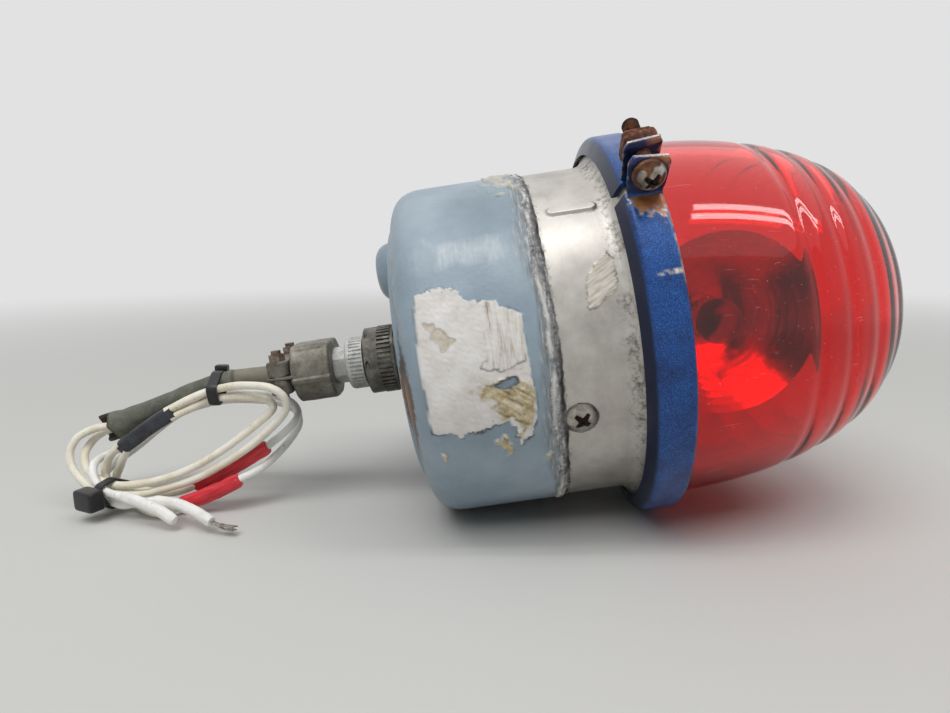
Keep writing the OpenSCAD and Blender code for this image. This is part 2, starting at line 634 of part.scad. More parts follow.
module receptacle() lay() color("#6f6a52") difference() {
    union() {
        translate([0, 0, -flange_t]) linear_extrude(flange_t) {
            circle(thread_r + 1.5);
            for (side = [-1, 1]) translate([0, side * ear_off]) circle(4);
            translate([-4, -ear_off]) square([8, 2 * ear_off]);
        }
        translate([0, 0, shell_end]) cylinder(r = thread_r, h = shell_l + 1);
        translate([0, 0, -1]) cylinder(r = thread_r - 0.05, h = 13);
    }
    translate([0, 0, shell_end - 1]) cylinder(r = thread_r - 2, h = 40);
    for (side = [-1, 1]) translate([0, side * ear_off, -flange_t - 1])
        cylinder(r = ear_screw_r + slip, h = flange_t + 2);
}
module receptacle_insert() lay() color("#8a4a2a") difference() {
    translate([0, 0, -6]) cylinder(r = thread_r - 2, h = 14);
    at_pins() translate([0, 0, -7]) cylinder(r = pin_r, h = 20);
}
module receptacle_pins() lay() color("#d8c27a") at_pins()
    translate([0, 0, shell_end + 0.5]) cylinder(r = pin_r, h = 14 - shell_end);
module flange_screws() lay() color("#9b9488") for (side = [-1, 1])
    translate([0, side * ear_off, -flange_t]) rotate([0, 90, 0])
        screw(ear_screw_r, flange_t + wall + ear_screw_l, ear_head_r, ear_head_h);

// Plug and its cable clamp

module coupling_nut() lay() color("#5b5743") difference() {
    union() {
        translate([0, 0, nut_end]) cylinder(r = nut_r - 0.2, h = nut_front - nut_end - 5.4);
        translate([0, 0, nut_front - 5.4]) linear_extrude(4.4) knurled(nut_r, 44, 0.6);
        translate([0, 0, nut_front - 1]) cylinder(r = nut_r - 0.6, h = 1);
    }
    translate([0, 0, nut_lip]) cylinder(r = thread_r + run_gap, h = 20);
    translate([0, 0, nut_end - 1]) cylinder(r = neck_plug + run_gap, h = 20);
    facing(60) translate([nut_r - 1.5, 0, nut_end + 0.95]) rotate([90, 0, 0])
        cylinder(r = 0.6, h = 2 * nut_r, center = true);
}

module plug_shell() lay() color("#8b8878") difference() {
    union() {
        translate([0, 0, shell_end - 1]) cylinder(r = thread_r - 2.2, h = 7);
        translate([0, 0, shell_end - 1.4]) cylinder(r = thread_r - 0.3, h = 1.3);
        translate([0, 0, bell_z]) cylinder(r = neck_plug, h = shell_end - bell_z - 1);
        translate([0, 0, bell_z - 6]) cylinder(r = 6.2, h = 7);
    }
    translate([0, 0, bell_z - 7]) cylinder(r = 5.6, h = 40);
}
module plug_insert() lay() color("#7a4326") difference() {
    translate([0, 0, bell_z]) cylinder(r = 5.6, h = shell_end + 6 - bell_z);
    at_pins() translate([0, 0, shell_end - 1]) cylinder(r = pin_r + 0.3, h = 20);
}
module end_bell() lay() color("#d4d5d0") difference() {
    union() {
        translate([0, 0, bell_z - bell_l]) linear_extrude(bell_l - 0.3) knurled(bell_r, 40, 0.45);
        translate([0, 0, bell_z - bell_l - hex_l]) cylinder(r = 6.4, h = hex_l, $fn = 6);
    }
    translate([0, 0, bell_z - 6.1]) cylinder(r = 6.2, h = 20);
    translate([0, 0, body_z - 1]) cylinder(r = boot_r + 0.3, h = 20);
}
module cable_clamp() lay() color("#8d8468") difference() {
    union() {
        intersection() {
            translate([0, 0, arm_z]) cylinder(r = clamp_r, h = body_l);
            translate([-clamp_r * 0.86, -20, arm_z]) cube([clamp_r * 1.8, 40, body_l]);
        }
        translate([1, -clamp_r - 0.8, arm_z]) cube([1.6, 2 * clamp_r + 1.6, body_l]);
        for (side = [-1, 1]) translate([-arm_t / 2, side * saddle_off - arm_w / 2, arm_z - saddle_l])
            cube([arm_t, arm_w, saddle_l + 1]);
    }
    translate([0, 0, arm_z - 1]) cylinder(r = boot_r + 0.1, h = 30);
    for (side = [-1, 1]) translate([0, side * saddle_off, arm_z - saddle_l / 2]) rotate([0, 90, 0])
        cylinder(r = saddle_screw_r + slip, h = 2 * saddle_t, center = true);
}
module saddles() lay() color("#97907a") difference() {
    for (half = [0, 1]) rotate([0, 0, 180 * half])
        translate([arm_t / 2, -saddle_w / 2, arm_z - saddle_l]) cube([saddle_t, saddle_w, saddle_l - 0.4]);
    translate([0, 0, arm_z - 20]) cylinder(r = boot_r + 0.1, h = 40);
    for (side = [-1, 1]) translate([0, side * saddle_off, arm_z - saddle_l / 2]) rotate([0, 90, 0])
        cylinder(r = saddle_screw_r + slip, h = 4 * saddle_t, center = true);
}
module saddle_screws() lay() color("#8a5f45") for (side = [-1, 1])
    translate([-saddle_t - arm_t / 2, side * saddle_off, arm_z - saddle_l / 2]) rotate([0, -90, 0]) {
        translate([0, 0, -saddle_screw_l]) cylinder(r = saddle_screw_r, h = saddle_screw_l + saddle_screw_over);
        cylinder(r = saddle_nut_r, h = saddle_nut_h, $fn = 6);
    }

// Boot: a swept sleeve that flares to an open mouth, where the wires come out
boot_n = len(boot_path);
boot_flare = 1.6;
function boot_size(i) = boot_r + max(0, boot_flare * (i - 6) / (boot_n - 7));
mouth = 3;
module cable_boot() harness() color("#6f7468") {
    outer = rings_of(boot_path, [for (i = [0:boot_n - 1]) boot_size(i)],
        [for (i = [0:boot_n - 1]) boot_size(i)], 12);
    inner = rings_of(boot_path, [for (i = [0:boot_n - 1]) boot_size(i) - 1],
        [for (i = [0:boot_n - 1]) boot_size(i) - 1], 12);
    loft(concat(outer, [for (i = [boot_n - 1:-1:boot_n - mouth]) inner[i]]));
}

// Wires, sleeves and ties

module supply_wire_a() harness() color("#e8e2cc") cord(supply_a, wire_d);
module supply_wire_b() harness() color("#e8e2cc") cord(supply_b, wire_d);
module link_wire_a() harness() color("#e8e2cc") cord(link_a, wire_d);
module link_wire_b() harness() color("#e8e2cc") cord(link_b, wire_d);
module tail_wire_a() harness() color("#f1f0ec") cord(tail_a, wire_d);
module tail_wire_b() harness() color("#f1f0ec") cord(tail_b, wire_d);
module splice_sleeve() harness() color("#26282c")
    loft(rings_of(splice_path, each_of(splice_path, wire_d * 0.75),
        each_of(splice_path, wire_d / 2 + wire_pitch), 12));
module red_sleeve_a() harness() color("#d8323a") cord(red_a, red_d);
module red_sleeve_b() harness() color("#d8323a") cord(red_b, red_d);
module tail_sleeve_a() harness() color("#f4f4f2") cord(end_a, tail_d);
module tail_sleeve_b() harness() color("#f4f4f2") cord(end_b, tail_d);
module bare_strands() harness() color("#a9a9a4") cord(strand_path, 2, 6);

// Strap loop in a plane square to X, with round ends along Y
module strap(w, h, width) rotate([90, 0, 90]) linear_extrude(width, center = true) difference() {
    stadium(w + 2 * tie_t, h + 2 * tie_t);
    stadium(w, h);
}
module stadium(w, h) {
    square([w - h, h], center = true);
    for (side = [-1, 1]) translate([side * (w - h) / 2, 0]) circle(h / 2);
}
module bundle_tie() harness() color("#1c1d20") translate([-102.3, -11.6, 7.6]) rotate([0, 0, -25]) {
    strap(17, 12.6, 4);
    translate([-4, -13.2, -3.5]) cube([8, 4, 7]);
}
module boot_tie() harness() color("#1c1d20") translate([-69, -3, 41]) strap(17, 12, 3.6);

rear_can();
seam_sealant();
barrel();
barrel_screws();
clamp_band();
clamp_washer();
clamp_screw();
clamp_nut();
lens();
lens_gasket();
chassis_plate();
drive_motor();
motor_screws();
motor_pinion();
carriage_gear();
carriage_spindle();
spindle_bush();
spindle_clip();
lamp_table();
lamp_post();
reflector_a();
reflector_b();
lamp_sockets();
lamp_a();
lamp_b();
slip_drum();
slip_rings();
brush_block();
brushes();
noise_filter();
inner_leads();
receptacle();
receptacle_insert();
receptacle_pins();
flange_screws();
coupling_nut();
plug_shell();
plug_insert();
end_bell();
cable_clamp();
saddles();
saddle_screws();
cable_boot();
supply_wire_a();
supply_wire_b();
splice_sleeve();
link_wire_a();
link_wire_b();
red_sleeve_a();
red_sleeve_b();
tail_wire_a();
tail_wire_b();
tail_sleeve_a();
tail_sleeve_b();
bare_strands();
bundle_tie();
boot_tie();
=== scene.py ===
import math
import bmesh
import bpy
import numpy as np
from mathutils import Matrix


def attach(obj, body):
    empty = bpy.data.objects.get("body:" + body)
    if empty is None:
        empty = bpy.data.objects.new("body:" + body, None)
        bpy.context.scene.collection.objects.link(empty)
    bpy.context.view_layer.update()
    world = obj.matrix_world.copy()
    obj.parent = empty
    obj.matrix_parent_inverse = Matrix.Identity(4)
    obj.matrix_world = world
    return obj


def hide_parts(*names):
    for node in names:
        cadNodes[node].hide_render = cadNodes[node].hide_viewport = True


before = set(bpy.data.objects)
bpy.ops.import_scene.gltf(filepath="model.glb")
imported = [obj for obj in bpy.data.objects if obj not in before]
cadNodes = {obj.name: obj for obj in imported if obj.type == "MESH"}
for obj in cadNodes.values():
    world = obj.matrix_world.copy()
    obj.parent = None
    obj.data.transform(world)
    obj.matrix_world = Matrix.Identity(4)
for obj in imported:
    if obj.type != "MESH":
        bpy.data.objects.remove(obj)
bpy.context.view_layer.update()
scene = bpy.context.scene
scene.view_settings.view_transform = "Standard"
print("frame loaded,", len(cadNodes), "nodes")

# how the lamp lies on the floor, the same values as in the part's source: degrees and millimetres
lie = {"lean": 8.16614, "rearHeight": 52.0675, "middle": 68.5972}


def joined(*parts):
    # coordinates matched in size and joined into one array of points
    return np.stack(np.broadcast_arrays(*parts), -1)


def onFloor(points):
    # harness frame in mm, below the middle of the rear face, to metres in the shared frame
    return (np.asarray(points, float) - [lie["middle"], 0.0, 0.0]) / 1000.0


def laid(local):
    # the lamp standing on its rear face, in mm, tipped over by a quarter turn less the lean
    tip = math.radians(90.0 - lie["lean"])
    x, y, z = np.moveaxis(np.asarray(local, float), -1, 0)
    across = x * math.cos(tip) + z * math.sin(tip) - lie["middle"]
    up = lie["rearHeight"] - x * math.sin(tip) + z * math.cos(tip)
    return joined(across, y, up) / 1000.0


def around(along, radius, turn):
    # cylinder coordinates: mm along the axis, mm out from it, degrees from the top towards the viewer
    angle = np.radians(turn)
    return laid(joined(-radius * np.cos(angle), -radius * np.sin(angle), along))


# camera: place in mm, angles in degrees, focal length in pixels of a 950 wide image
viewpoint = {"place": (-50.33, -215.59, 90.15), "yaw": 0.46, "pitch": 10.3, "roll": 0.22,
             "focal": 633.0, "width": 950.0, "film": 36.0}


def aimCamera():
    # forward from yaw and pitch, level right, up as right crossed with forward, then the small roll
    yaw, pitch, roll = (math.radians(viewpoint[key]) for key in ("yaw", "pitch", "roll"))
    ahead = np.array([math.sin(yaw) * math.cos(pitch), math.cos(yaw) * math.cos(pitch), -math.sin(pitch)])
    level = np.array([math.cos(yaw), -math.sin(yaw), 0.0])
    rise = np.cross(level, ahead)
    right = level * math.cos(roll) - rise * math.sin(roll)
    up = rise * math.cos(roll) + level * math.sin(roll)
    data = bpy.data.cameras.new("photographView")
    data.sensor_width = viewpoint["film"]
    data.lens = viewpoint["focal"] / viewpoint["width"] * viewpoint["film"]
    data.clip_start = 0.01
    camera = bpy.data.objects.new("photographView", data)
    scene.collection.objects.link(camera)
    turned = np.eye(4)
    turned[:3] = np.stack([right, up, -ahead, np.array(viewpoint["place"]) / 1000.0], -1)
    camera.matrix_world = Matrix(turned.tolist())
    scene.camera = camera


aimCamera()
print("camera placed")


# helpers for finishes
def hexLinear(text):
    # sRGB hex to linear light, each channel by the standard curve
    channels = [int(text[i:i + 2], 16) / 255.0 for i in (1, 3, 5)]
    return tuple(c / 12.92 if c <= 0.04045 else ((c + 0.055) / 1.055) ** 2.4 for c in channels) + (1.0,)


def perMm(size):
    # texture scale for a feature of that many millimetres, on coordinates in metres
    return 1000.0 / size


def addNode(owner, kind, inputs=None, stops=None, out=0, **settings):
    # one shader node: inputs are sockets' values or links, stops a ramp's colours, settings its properties
    tree = owner.node_tree
    node = tree.nodes.new("ShaderNode" + kind)
    for key, value in settings.items():
        setattr(node, key, value)
    if stops:
        ramp = node.color_ramp
        while len(ramp.elements) < len(stops):
            ramp.elements.new(0.5)
        for element, (place, colour) in zip(ramp.elements, stops):
            element.position = place
            element.color = hexLinear(colour) if isinstance(colour, str) else (colour, colour, colour, 1.0)
    for socket, value in (inputs or {}).items():
        if isinstance(value, bpy.types.NodeSocket):
            tree.links.new(value, node.inputs[socket])
        else:
            node.inputs[socket].default_value = hexLinear(value) if isinstance(value, str) else value
    return node.outputs[out]


# short names of the shader's sockets
socketNames = {"base": "Base Color", "roughness": "Roughness", "metallic": "Metallic", "normal": "Normal",
               "ior": "IOR", "specular": "Specular IOR Level", "coat": "Coat Weight",
               "coatRoughness": "Coat Roughness", "transmission": "Transmission Weight"}


def newFinish(name, **plain):
    # a material with its shader, whose plain values are set on the shader's own sockets
    mat = bpy.data.materials.new(name)
    mat.use_nodes = True
    sockets = mat.node_tree.nodes["Principled BSDF"].inputs
    for key, value in plain.items():
        sockets[socketNames[key]].default_value = hexLinear(value) if isinstance(value, str) else value
    return mat, sockets


def feed(mat, sockets, **outputs):
    # links nodes' outputs to the shader's sockets
    for key, output in outputs.items():
        mat.node_tree.links.new(output, sockets[socketNames[key]])


# helpers for shapes
def lumps(points, size, seed, waves=14):
    # sum of plane waves in random directions, about -1 to 1, with wavelengths near size, in the points' units
    draw = np.random.default_rng(seed)
    way = draw.normal(size=(waves, 3))
    way *= 2 * np.pi / (np.linalg.norm(way, axis=1) * size * draw.uniform(0.6, 1.5, waves))[:, None]
    return np.sin(points @ way.T + draw.uniform(0, 2 * np.pi, waves)).sum(-1) / (1.5 * math.sqrt(waves / 2))


def hump(off, width):
    # bell curve: 1 where off is nought, falling away over the width
    return np.exp(-(off / width) ** 2)


def ease(value, low, high):
    # 0 below low, 1 above high, with a smooth step between
    share = np.clip((value - low) / (high - low), 0.0, 1.0)
    return share * share * (3 - 2 * share)


def insideBy(turn, along, outline, radius):
    # distance in mm to the edge of an outline on a cylinder, positive inside, by even-odd crossings
    edge = np.array(outline, float) * [math.radians(radius), 1.0]
    spot = joined(np.radians(turn) * radius, along)[..., None, :]
    span = np.roll(edge, -1, 0) - edge
    share = np.clip(((spot - edge) * span).sum(-1) / (span ** 2).sum(-1), 0, 1)
    gap = np.linalg.norm(spot - edge - share[..., None] * span, axis=-1).min(-1)
    passed = (edge[:, 1] > spot[..., 1]) != (edge[:, 1] + span[:, 1] > spot[..., 1])
    rise = np.where(span[:, 1] == 0, 1e-9, span[:, 1])
    meets = edge[:, 0] + (spot[..., 1] - edge[:, 1]) * span[:, 0] / rise
    return np.where((passed & (spot[..., 0] < meets)).sum(-1) % 2 == 1, gap, -gap)


def lengthAlong(path):
    # running sum of the distances between neighbours
    return np.concatenate([[0], np.cumsum(np.linalg.norm(np.diff(path, axis=0), axis=1))])


def resampled(line, places):
    # points of a polyline at the given lengths along it
    length = lengthAlong(line)
    return np.stack([np.interp(places, length, line[:, i]) for i in range(line.shape[1])], -1)


def softLine(points, radii, spacing):
    # polyline whose corners are rounded by parabolas that start one radius before each corner, evenly spaced
    p = np.array(points, float)
    rows = [p[:1]]
    for a, b, c, r in zip(p[:-2], p[1:-1], p[2:], radii):
        t = np.linspace(0, 1, 9)[:, None]
        start = b + (a - b) / np.linalg.norm(a - b) * r
        end = b + (c - b) / np.linalg.norm(c - b) * r
        rows.append((1 - t) ** 2 * start + 2 * t * (1 - t) * b + t ** 2 * end)
    line = np.vstack(rows + [p[-1:]])
    full = lengthAlong(line)[-1]
    return resampled(line, np.linspace(0, full, max(2, int(round(full / spacing)) + 1)))


def curveThrough(points, steps):
    # smooth curve through the points: each span is a cubic with slopes from its neighbours
    p = np.asarray(points, float)
    p = np.vstack([2 * p[0] - p[1], p, 2 * p[-1] - p[-2]])
    t = np.linspace(0, 1, steps, endpoint=False)[None, :, None]
    a, b, c, d = (p[i:len(p) - 3 + i][:, None, :] for i in range(4))
    bend = (2 * a - 5 * b + 4 * c - d) * t ** 2 + (3 * b - a - 3 * c + d) * t ** 3
    spans = (2 * b + (c - a) * t + bend) / 2
    return np.vstack([spans.reshape(-1, 3), p[-2]])


def wayOut(turn):
    # unit step straight out from the lamp's axis, at degrees from the top, in the lamp's own frame
    return np.array([-math.cos(math.radians(turn)), -math.sin(math.radians(turn)), 0.0])


def closeTurns(columns):
    # degrees round the lamp, nearly four times as close on the side that the photograph shows
    near = int(columns * 0.66)
    rest = columns - near
    above = np.linspace(-90, 25, rest // 2, endpoint=False)
    facing = np.linspace(25, 150, near, endpoint=False)
    below = np.linspace(150, 270, rest - rest // 2 + 1)
    return np.concatenate([above, facing, below])[None, :]


def carried(path, section, first=(0, 1, 0), capped=True):
    # section, as (across, other) offsets for each path point or for all, carried along the path without twist
    path = np.asarray(path, float)
    heading = np.gradient(path, axis=0)
    heading /= np.linalg.norm(heading, axis=1, keepdims=True)
    side = [np.array(first, float)]
    for way in heading:
        across = side[-1] - way * (side[-1] @ way)
        side.append(across / np.linalg.norm(across))
    side = np.array(side[1:])
    other = np.cross(heading, side)
    section = np.broadcast_to(section, (len(path),) + np.shape(section)[-2:])
    grid = path[:, None] + section[..., :1] * side[:, None] + section[..., 1:] * other[:, None]
    girth = lengthAlong(section[len(path) // 2])
    uv = joined(girth[None, :], lengthAlong(path)[:, None]) / 1000.0
    if capped:
        rows = [0] + list(range(len(path))) + [len(path) - 1]
        grid, uv = grid[rows], uv[rows]
        grid[0], grid[-1] = grid[0].mean(0), grid[-1].mean(0)
    return grid, uv


def roundSection(radius, sides):
    # circle of offsets: cosine and sine of the angle, times one radius or one for each path point
    angle = np.linspace(0, 2 * np.pi, sides + 1)
    return np.asarray(radius)[..., None, None] * np.stack([np.cos(angle), np.sin(angle)], -1)


def squared(wave, power):
    # sine or cosine raised to a power below 1, its sign kept, which turns a circle towards a square
    return np.sign(wave) * np.abs(wave) ** power


def cushion(size, steps, power):
    # box with rounded edges and corners: a ball whose sines and cosines are squared off
    up = np.linspace(-np.pi / 2, np.pi / 2, steps)[:, None]
    turn = np.linspace(-np.pi, np.pi, 2 * steps + 1)[None, :]
    level = squared(np.cos(up), power)
    x = level * squared(np.cos(turn), power)
    y = level * squared(np.sin(turn), power)
    return joined(x, y, squared(np.sin(up), power)) * np.array(size) / 2


def makePiece(name, sheets, body, finish, nodes=(), sharp=35.0):
    # one object from grids of points in metres: neighbours in a grid make the faces, seams are merged
    points, quads, maps, marks, base = [], [], [], {}, 0
    for sheet in sheets:
        grid = sheet["grid"]
        rows, columns = grid.shape[:2]
        index = np.arange(rows * columns).reshape(rows, columns) + base
        corners = [index[:-1, :-1], index[:-1, 1:], index[1:, 1:], index[1:, :-1]]
        quads.append(np.stack(corners, -1).reshape(-1, 4))
        points.append(grid.reshape(-1, 3))
        maps.append(sheet["map"].reshape(-1, 2) if "map" in sheet else np.zeros((rows * columns, 2)))
        for key in sorted(set(marks) | set(sheet.get("marks", {}))):
            value = np.broadcast_to(sheet.get("marks", {}).get(key, 0.0), (rows, columns))
            marks.setdefault(key, [np.zeros(base)]).append(value.ravel())
        base += rows * columns
    mesh = bpy.data.meshes.new(name)
    mesh.from_pydata(np.vstack(points).tolist(), [], np.vstack(quads).tolist())
    corner = np.empty(len(mesh.loops), int)
    mesh.loops.foreach_get("vertex_index", corner)
    mesh.uv_layers.new(name="wrap").data.foreach_set("uv", np.vstack(maps)[corner].ravel())
    for key, values in marks.items():
        mesh.attributes.new(key, "FLOAT", "POINT").data.foreach_set("value", np.concatenate(values))
    work = bmesh.new()
    work.from_mesh(mesh)
    bmesh.ops.remove_doubles(work, verts=work.verts, dist=1e-6)
    bmesh.ops.dissolve_degenerate(work, edges=work.edges, dist=1e-7)
    bmesh.ops.recalc_face_normals(work, faces=work.faces)
    work.to_mesh(mesh)
    work.free()
    mesh.shade_smooth()
    mesh.set_sharp_from_angle(angle=math.radians(sharp))
    piece = bpy.data.objects.new(name, mesh)
    scene.collection.objects.link(piece)
    mesh.materials.append(finish)
    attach(piece, body)
    if nodes:
        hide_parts(*nodes)
    return piece


def wireInsulation(name, pale, dark, grime):
    # extruded plastic insulation, satin and handled: a soft highlight, dirt in blotches along the wire
    mat, sockets = newFinish(name, roughness=0.42, specular=0.45)
    place = addNode(mat, "TexCoord", out="Object")
    blotch = addNode(mat, "TexNoise",
                     {"Vector": place, "Scale": perMm(9.0), "Detail": 5.0, "Roughness": 0.62})
    speck = addNode(mat, "TexNoise", {"Vector": place, "Scale": perMm(1.2), "Detail": 3.0})
    colour = addNode(mat, "ValToRGB", {"Fac": blotch}, stops=[(0.36, dark), (0.52, pale)])
    spots = addNode(mat, "ValToRGB", {"Fac": speck}, stops=[(0.66, 0.0), (0.74, 0.7)])
    dirty = addNode(mat, "MixRGB", {"Fac": spots, "Color1": colour, "Color2": grime})
    rough = addNode(mat, "MapRange", {"Value": blotch, "To Min": 0.6, "To Max": 0.34})
    bump = addNode(mat, "Bump", {"Height": speck, "Strength": 0.12, "Distance": 0.0003})
    feed(mat, sockets, base=dirty, roughness=rough, normal=bump)
    return mat


# harness routes in mm in the floor frame, as in the part's source but drawn closer at the splice
harness = {
    "wireAcross": 2.7, "sides": 14, "steps": 6,
    "supplyA": [(-101, -1.75, 29.5), (-107, -1.75, 27.5), (-112.5, -2, 26.5), (-117.5, -4, 24),
                (-119.5, -6, 19.5), (-118, -8, 14.5), (-114, -10, 10.5), (-108.5, -12.5, 8),
                (-101, -13, 7), (-92.5, -13, 7), (-83.5, -13, 9), (-74, -12, 12), (-64.5, -11, 17),
                (-56, -10, 22.5), (-49.5, -10, 28), (-44.5, -11, 33), (-42.5, -12, 37), (-43.5, -13, 41),
                (-48, -13, 43.5), (-55, -10.5, 43.5), (-62, -6.6, 42.4), (-70, -4.9, 40.5),
                (-76.5, -6.3, 38.1), (-84.5, -8, 34.1)],
    "supplyB": [(-101, 1.75, 28.5), (-107, 1.75, 26), (-112, 1.5, 24), (-115, 0, 21.5), (-116, -3.5, 18),
                (-114, -7, 14.5), (-110.5, -9, 12), (-104.5, -12, 11), (-98, -13, 10.5),
                (-90.5, -13, 11), (-82, -13, 13), (-73.5, -12, 16.5), (-65, -11, 21.5), (-58, -10, 26.5),
                (-53, -9, 30.5), (-49.5, -8, 33.5), (-48.5, -7, 35.5), (-50, -7, 37.5), (-54, -7, 38.5),
                (-59.5, -6, 38.6), (-65.5, -4.6, 38.1), (-71, -3.8, 37.2), (-76, -5.8, 35),
                (-83, -8, 31.9)],
    "linkA": [(-100.9, -8, 22.6), (-105.5, -7, 18), (-107.5, -6, 14), (-107.5, -6.5, 10.5),
              (-105, -7.5, 8.5), (-98.5, -7.5, 7.5), (-90.5, -8, 5.5), (-83, -8, 5.5), (-75, -7.5, 8.5)],
    "linkB": [(-99.0, -8, 20.8), (-101.5, -7, 16.5), (-104, -4, 13), (-106, -2.5, 9), (-105.5, -4, 5.5),
              (-100.5, -8.5, 4), (-95, -12, 2.5), (-90, -15.5, 2), (-85.5, -17.5, 2), (-81.5, -16, 2.5),
              (-78, -13, 4)],
    "tailA": [(-53, -6, 20), (-46.5, -4, 25), (-43.5, -1, 28), (-43, 3, 30.5), (-46, 6, 33.5),
              (-52.5, 8, 35.5), (-59.5, 8, 36.5), (-68.5, 8, 36.5), (-77.5, 8, 35), (-87, 8, 31.5),
              (-96, 7, 25.5), (-103, 4, 20), (-108, 0.5, 17.5), (-110.5, -4, 16.5), (-110, -9.5, 16),
              (-108, -14, 13), (-103.5, -17, 9.5), (-97, -19.5, 9), (-93, -20.5, 8.5)],
    "tailB": [(-61, -12.5, 11), (-53.5, -8, 14), (-48.5, -2, 18), (-45, 4, 22.5), (-44, 7.5, 26),
              (-46.5, 11, 29.5), (-52.5, 12, 32), (-61, 12, 33), (-70.5, 12, 33), (-79.5, 12, 31.5),
              (-89, 12, 28), (-97.5, 11, 22), (-104, 8, 16.5), (-110, 4, 12), (-113, -1, 8),
              (-112, -6, 5), (-106.5, -11.5, 3.5), (-99, -16, 3.5), (-92, -17.5, 5.5), (-84, -18.5, 7)],
    "splice": [(-82, -8, 34), (-88.5, -8, 30), (-95, -8, 25.5), (-101, -8, 21)],
    "redSleeve": {"across": 4.4, "flat": 0.28, "crease": 0.12, "seed": 5, "routes": [
        [(-77, -7.5, 7.5), (-70, -7.5, 10.5), (-61.5, -6.5, 15), (-51.5, -6, 21)],
        [(-79.5, -13.5, 3.5), (-73, -13.5, 5.5), (-65.5, -13, 8.5), (-59.5, -12, 11.5)]]},
    "tailSleeve": {"across": 3.6, "flat": 0.08, "crease": 0.05, "seed": 7, "routes": [
        [(-95, -20, 9), (-88.5, -22.5, 8), (-81, -25, 6), (-75.5, -27, 3.5)],
        [(-86, -18, 6.5), (-77, -21, 6.5), (-69.5, -25, 5.5), (-63, -29, 4)]]},
    "strands": [(-64, -28.5, 4), (-61, -29.5, 3), (-58, -30, 2), (-55, -30.5, 1.5)],
    "gather": {"place": (-102.3, -11.6, 7.6), "turn": -25.0, "share": 0.25, "reach": 8.0, "within": 10.0},
}
creamInsulation = wireInsulation("creamPlasticInsulation", "#f1ecde", "#e4dcc7", "#a99a76")
whiteInsulation = wireInsulation("whitePlasticInsulation", "#f4f3f0", "#e6e5e0", "#aaa69b")


def gathered(path):
    # wires drawn together through the bundle's tie: each point's offset across the tie shrinks near its plane
    hold = harness["gather"]
    turn = math.radians(hold["turn"])
    way = np.array([math.cos(turn), math.sin(turn), 0.0])
    off = path - np.array(hold["place"])
    along = off @ way
    across = off - along[:, None] * way
    near = hump(along, hold["reach"]) * ease(hold["within"] - np.linalg.norm(across, axis=1), 0, 3)
    return path - hold["share"] * near[:, None] * across


def makeWire(name, route, finish, node):
    # a round section, a little uneven, carried along the smooth curve through the route's points
    path = gathered(curveThrough(harness[route], harness["steps"]))
    uneven = 1 + 0.02 * lumps(path, 14.0, 3)
    grid, uv = carried(path, roundSection(harness["wireAcross"] / 2 * uneven, harness["sides"]))
    return makePiece(name, [{"grid": onFloor(grid), "map": uv}], "plug", finish, [node]), onFloor(path)


def makeSleeve(name, kind, number, finish, node):
    # an oval section that narrows at both ends, with creases along it that wander round as the length goes on
    across, flat, crease = (harness[kind][key] for key in ("across", "flat", "crease"))
    seed = harness[kind]["seed"] + number
    path = curveThrough(harness[kind]["routes"][number], 16)
    length = lengthAlong(path)
    ends = np.minimum(length, length[-1] - length)
    angle = np.linspace(0, 2 * np.pi, 37)
    spot = joined(across * np.cos(angle), across * np.sin(angle), length[:, None])
    wave = lumps(spot * [1.0, 1.0, 0.25], 2.4, seed) + 0.5 * lumps(spot, 3.0, seed + 40)
    radius = across / 2 * (0.8 + 0.2 * ease(ends, 0.0, 1.2))[:, None] + crease * wave
    section = radius[..., None] * np.stack([np.cos(angle) * (1 - flat), np.sin(angle) * (1 + 0.6 * flat)], -1)
    grid, uv = carried(path, section)
    return makePiece(name, [{"grid": onFloor(grid), "map": uv}], "plug", finish, [node])


def redShrink():
    # red shrink sleeve, flattened and creased: satin, with painted shade, darker in the creases that run
    # along it
    mat, sockets = newFinish("redShrinkSleeve", roughness=0.42, specular=0.5)
    wrap = addNode(mat, "UVMap", uv_map="wrap")
    drawn = addNode(mat, "Mapping", {"Vector": wrap, "Scale": (perMm(1.4), perMm(9.0), 1.0)})
    turns = addNode(mat, "TexNoise", {"Vector": drawn, "Scale": 1.0, "Detail": 4.0, "Roughness": 0.6})
    spot = addNode(mat, "TexNoise", {"Vector": wrap, "Scale": perMm(2.0), "Detail": 4.0})
    # painted shade: the tone goes darker where the creases' bump sinks
    tone = addNode(mat, "ValToRGB", {"Fac": turns}, stops=[(0.3, "#b92430"), (0.55, "#e03842")])
    worn = addNode(mat, "ValToRGB", {"Fac": spot}, stops=[(0.6, 0.0), (0.78, 0.4)])
    colour = addNode(mat, "MixRGB", {"Fac": worn, "Color1": tone, "Color2": "#e0666a"})
    bump = addNode(mat, "Bump", {"Height": turns, "Strength": 0.35, "Distance": 0.0005})
    feed(mat, sockets, base=colour, normal=bump)
    return mat


def blackShrink():
    # black heat-shrink sleeve: smooth polyolefin with a broad sheen and pale dust in its hollows
    mat, sockets = newFinish("blackShrinkSleeve", roughness=0.3, specular=0.6)
    place = addNode(mat, "TexCoord", out="Object")
    dust = addNode(mat, "TexNoise", {"Vector": place, "Scale": perMm(3.5), "Detail": 5.0, "Roughness": 0.65})
    colour = addNode(mat, "ValToRGB", {"Fac": dust}, stops=[(0.4, "#191b21"), (0.75, "#363b47")])
    rough = addNode(mat, "MapRange", {"Value": dust, "To Min": 0.16, "To Max": 0.42})
    bump = addNode(mat, "Bump", {"Height": dust, "Strength": 0.2, "Distance": 0.0004})
    feed(mat, sockets, base=colour, roughness=rough, normal=bump)
    return mat


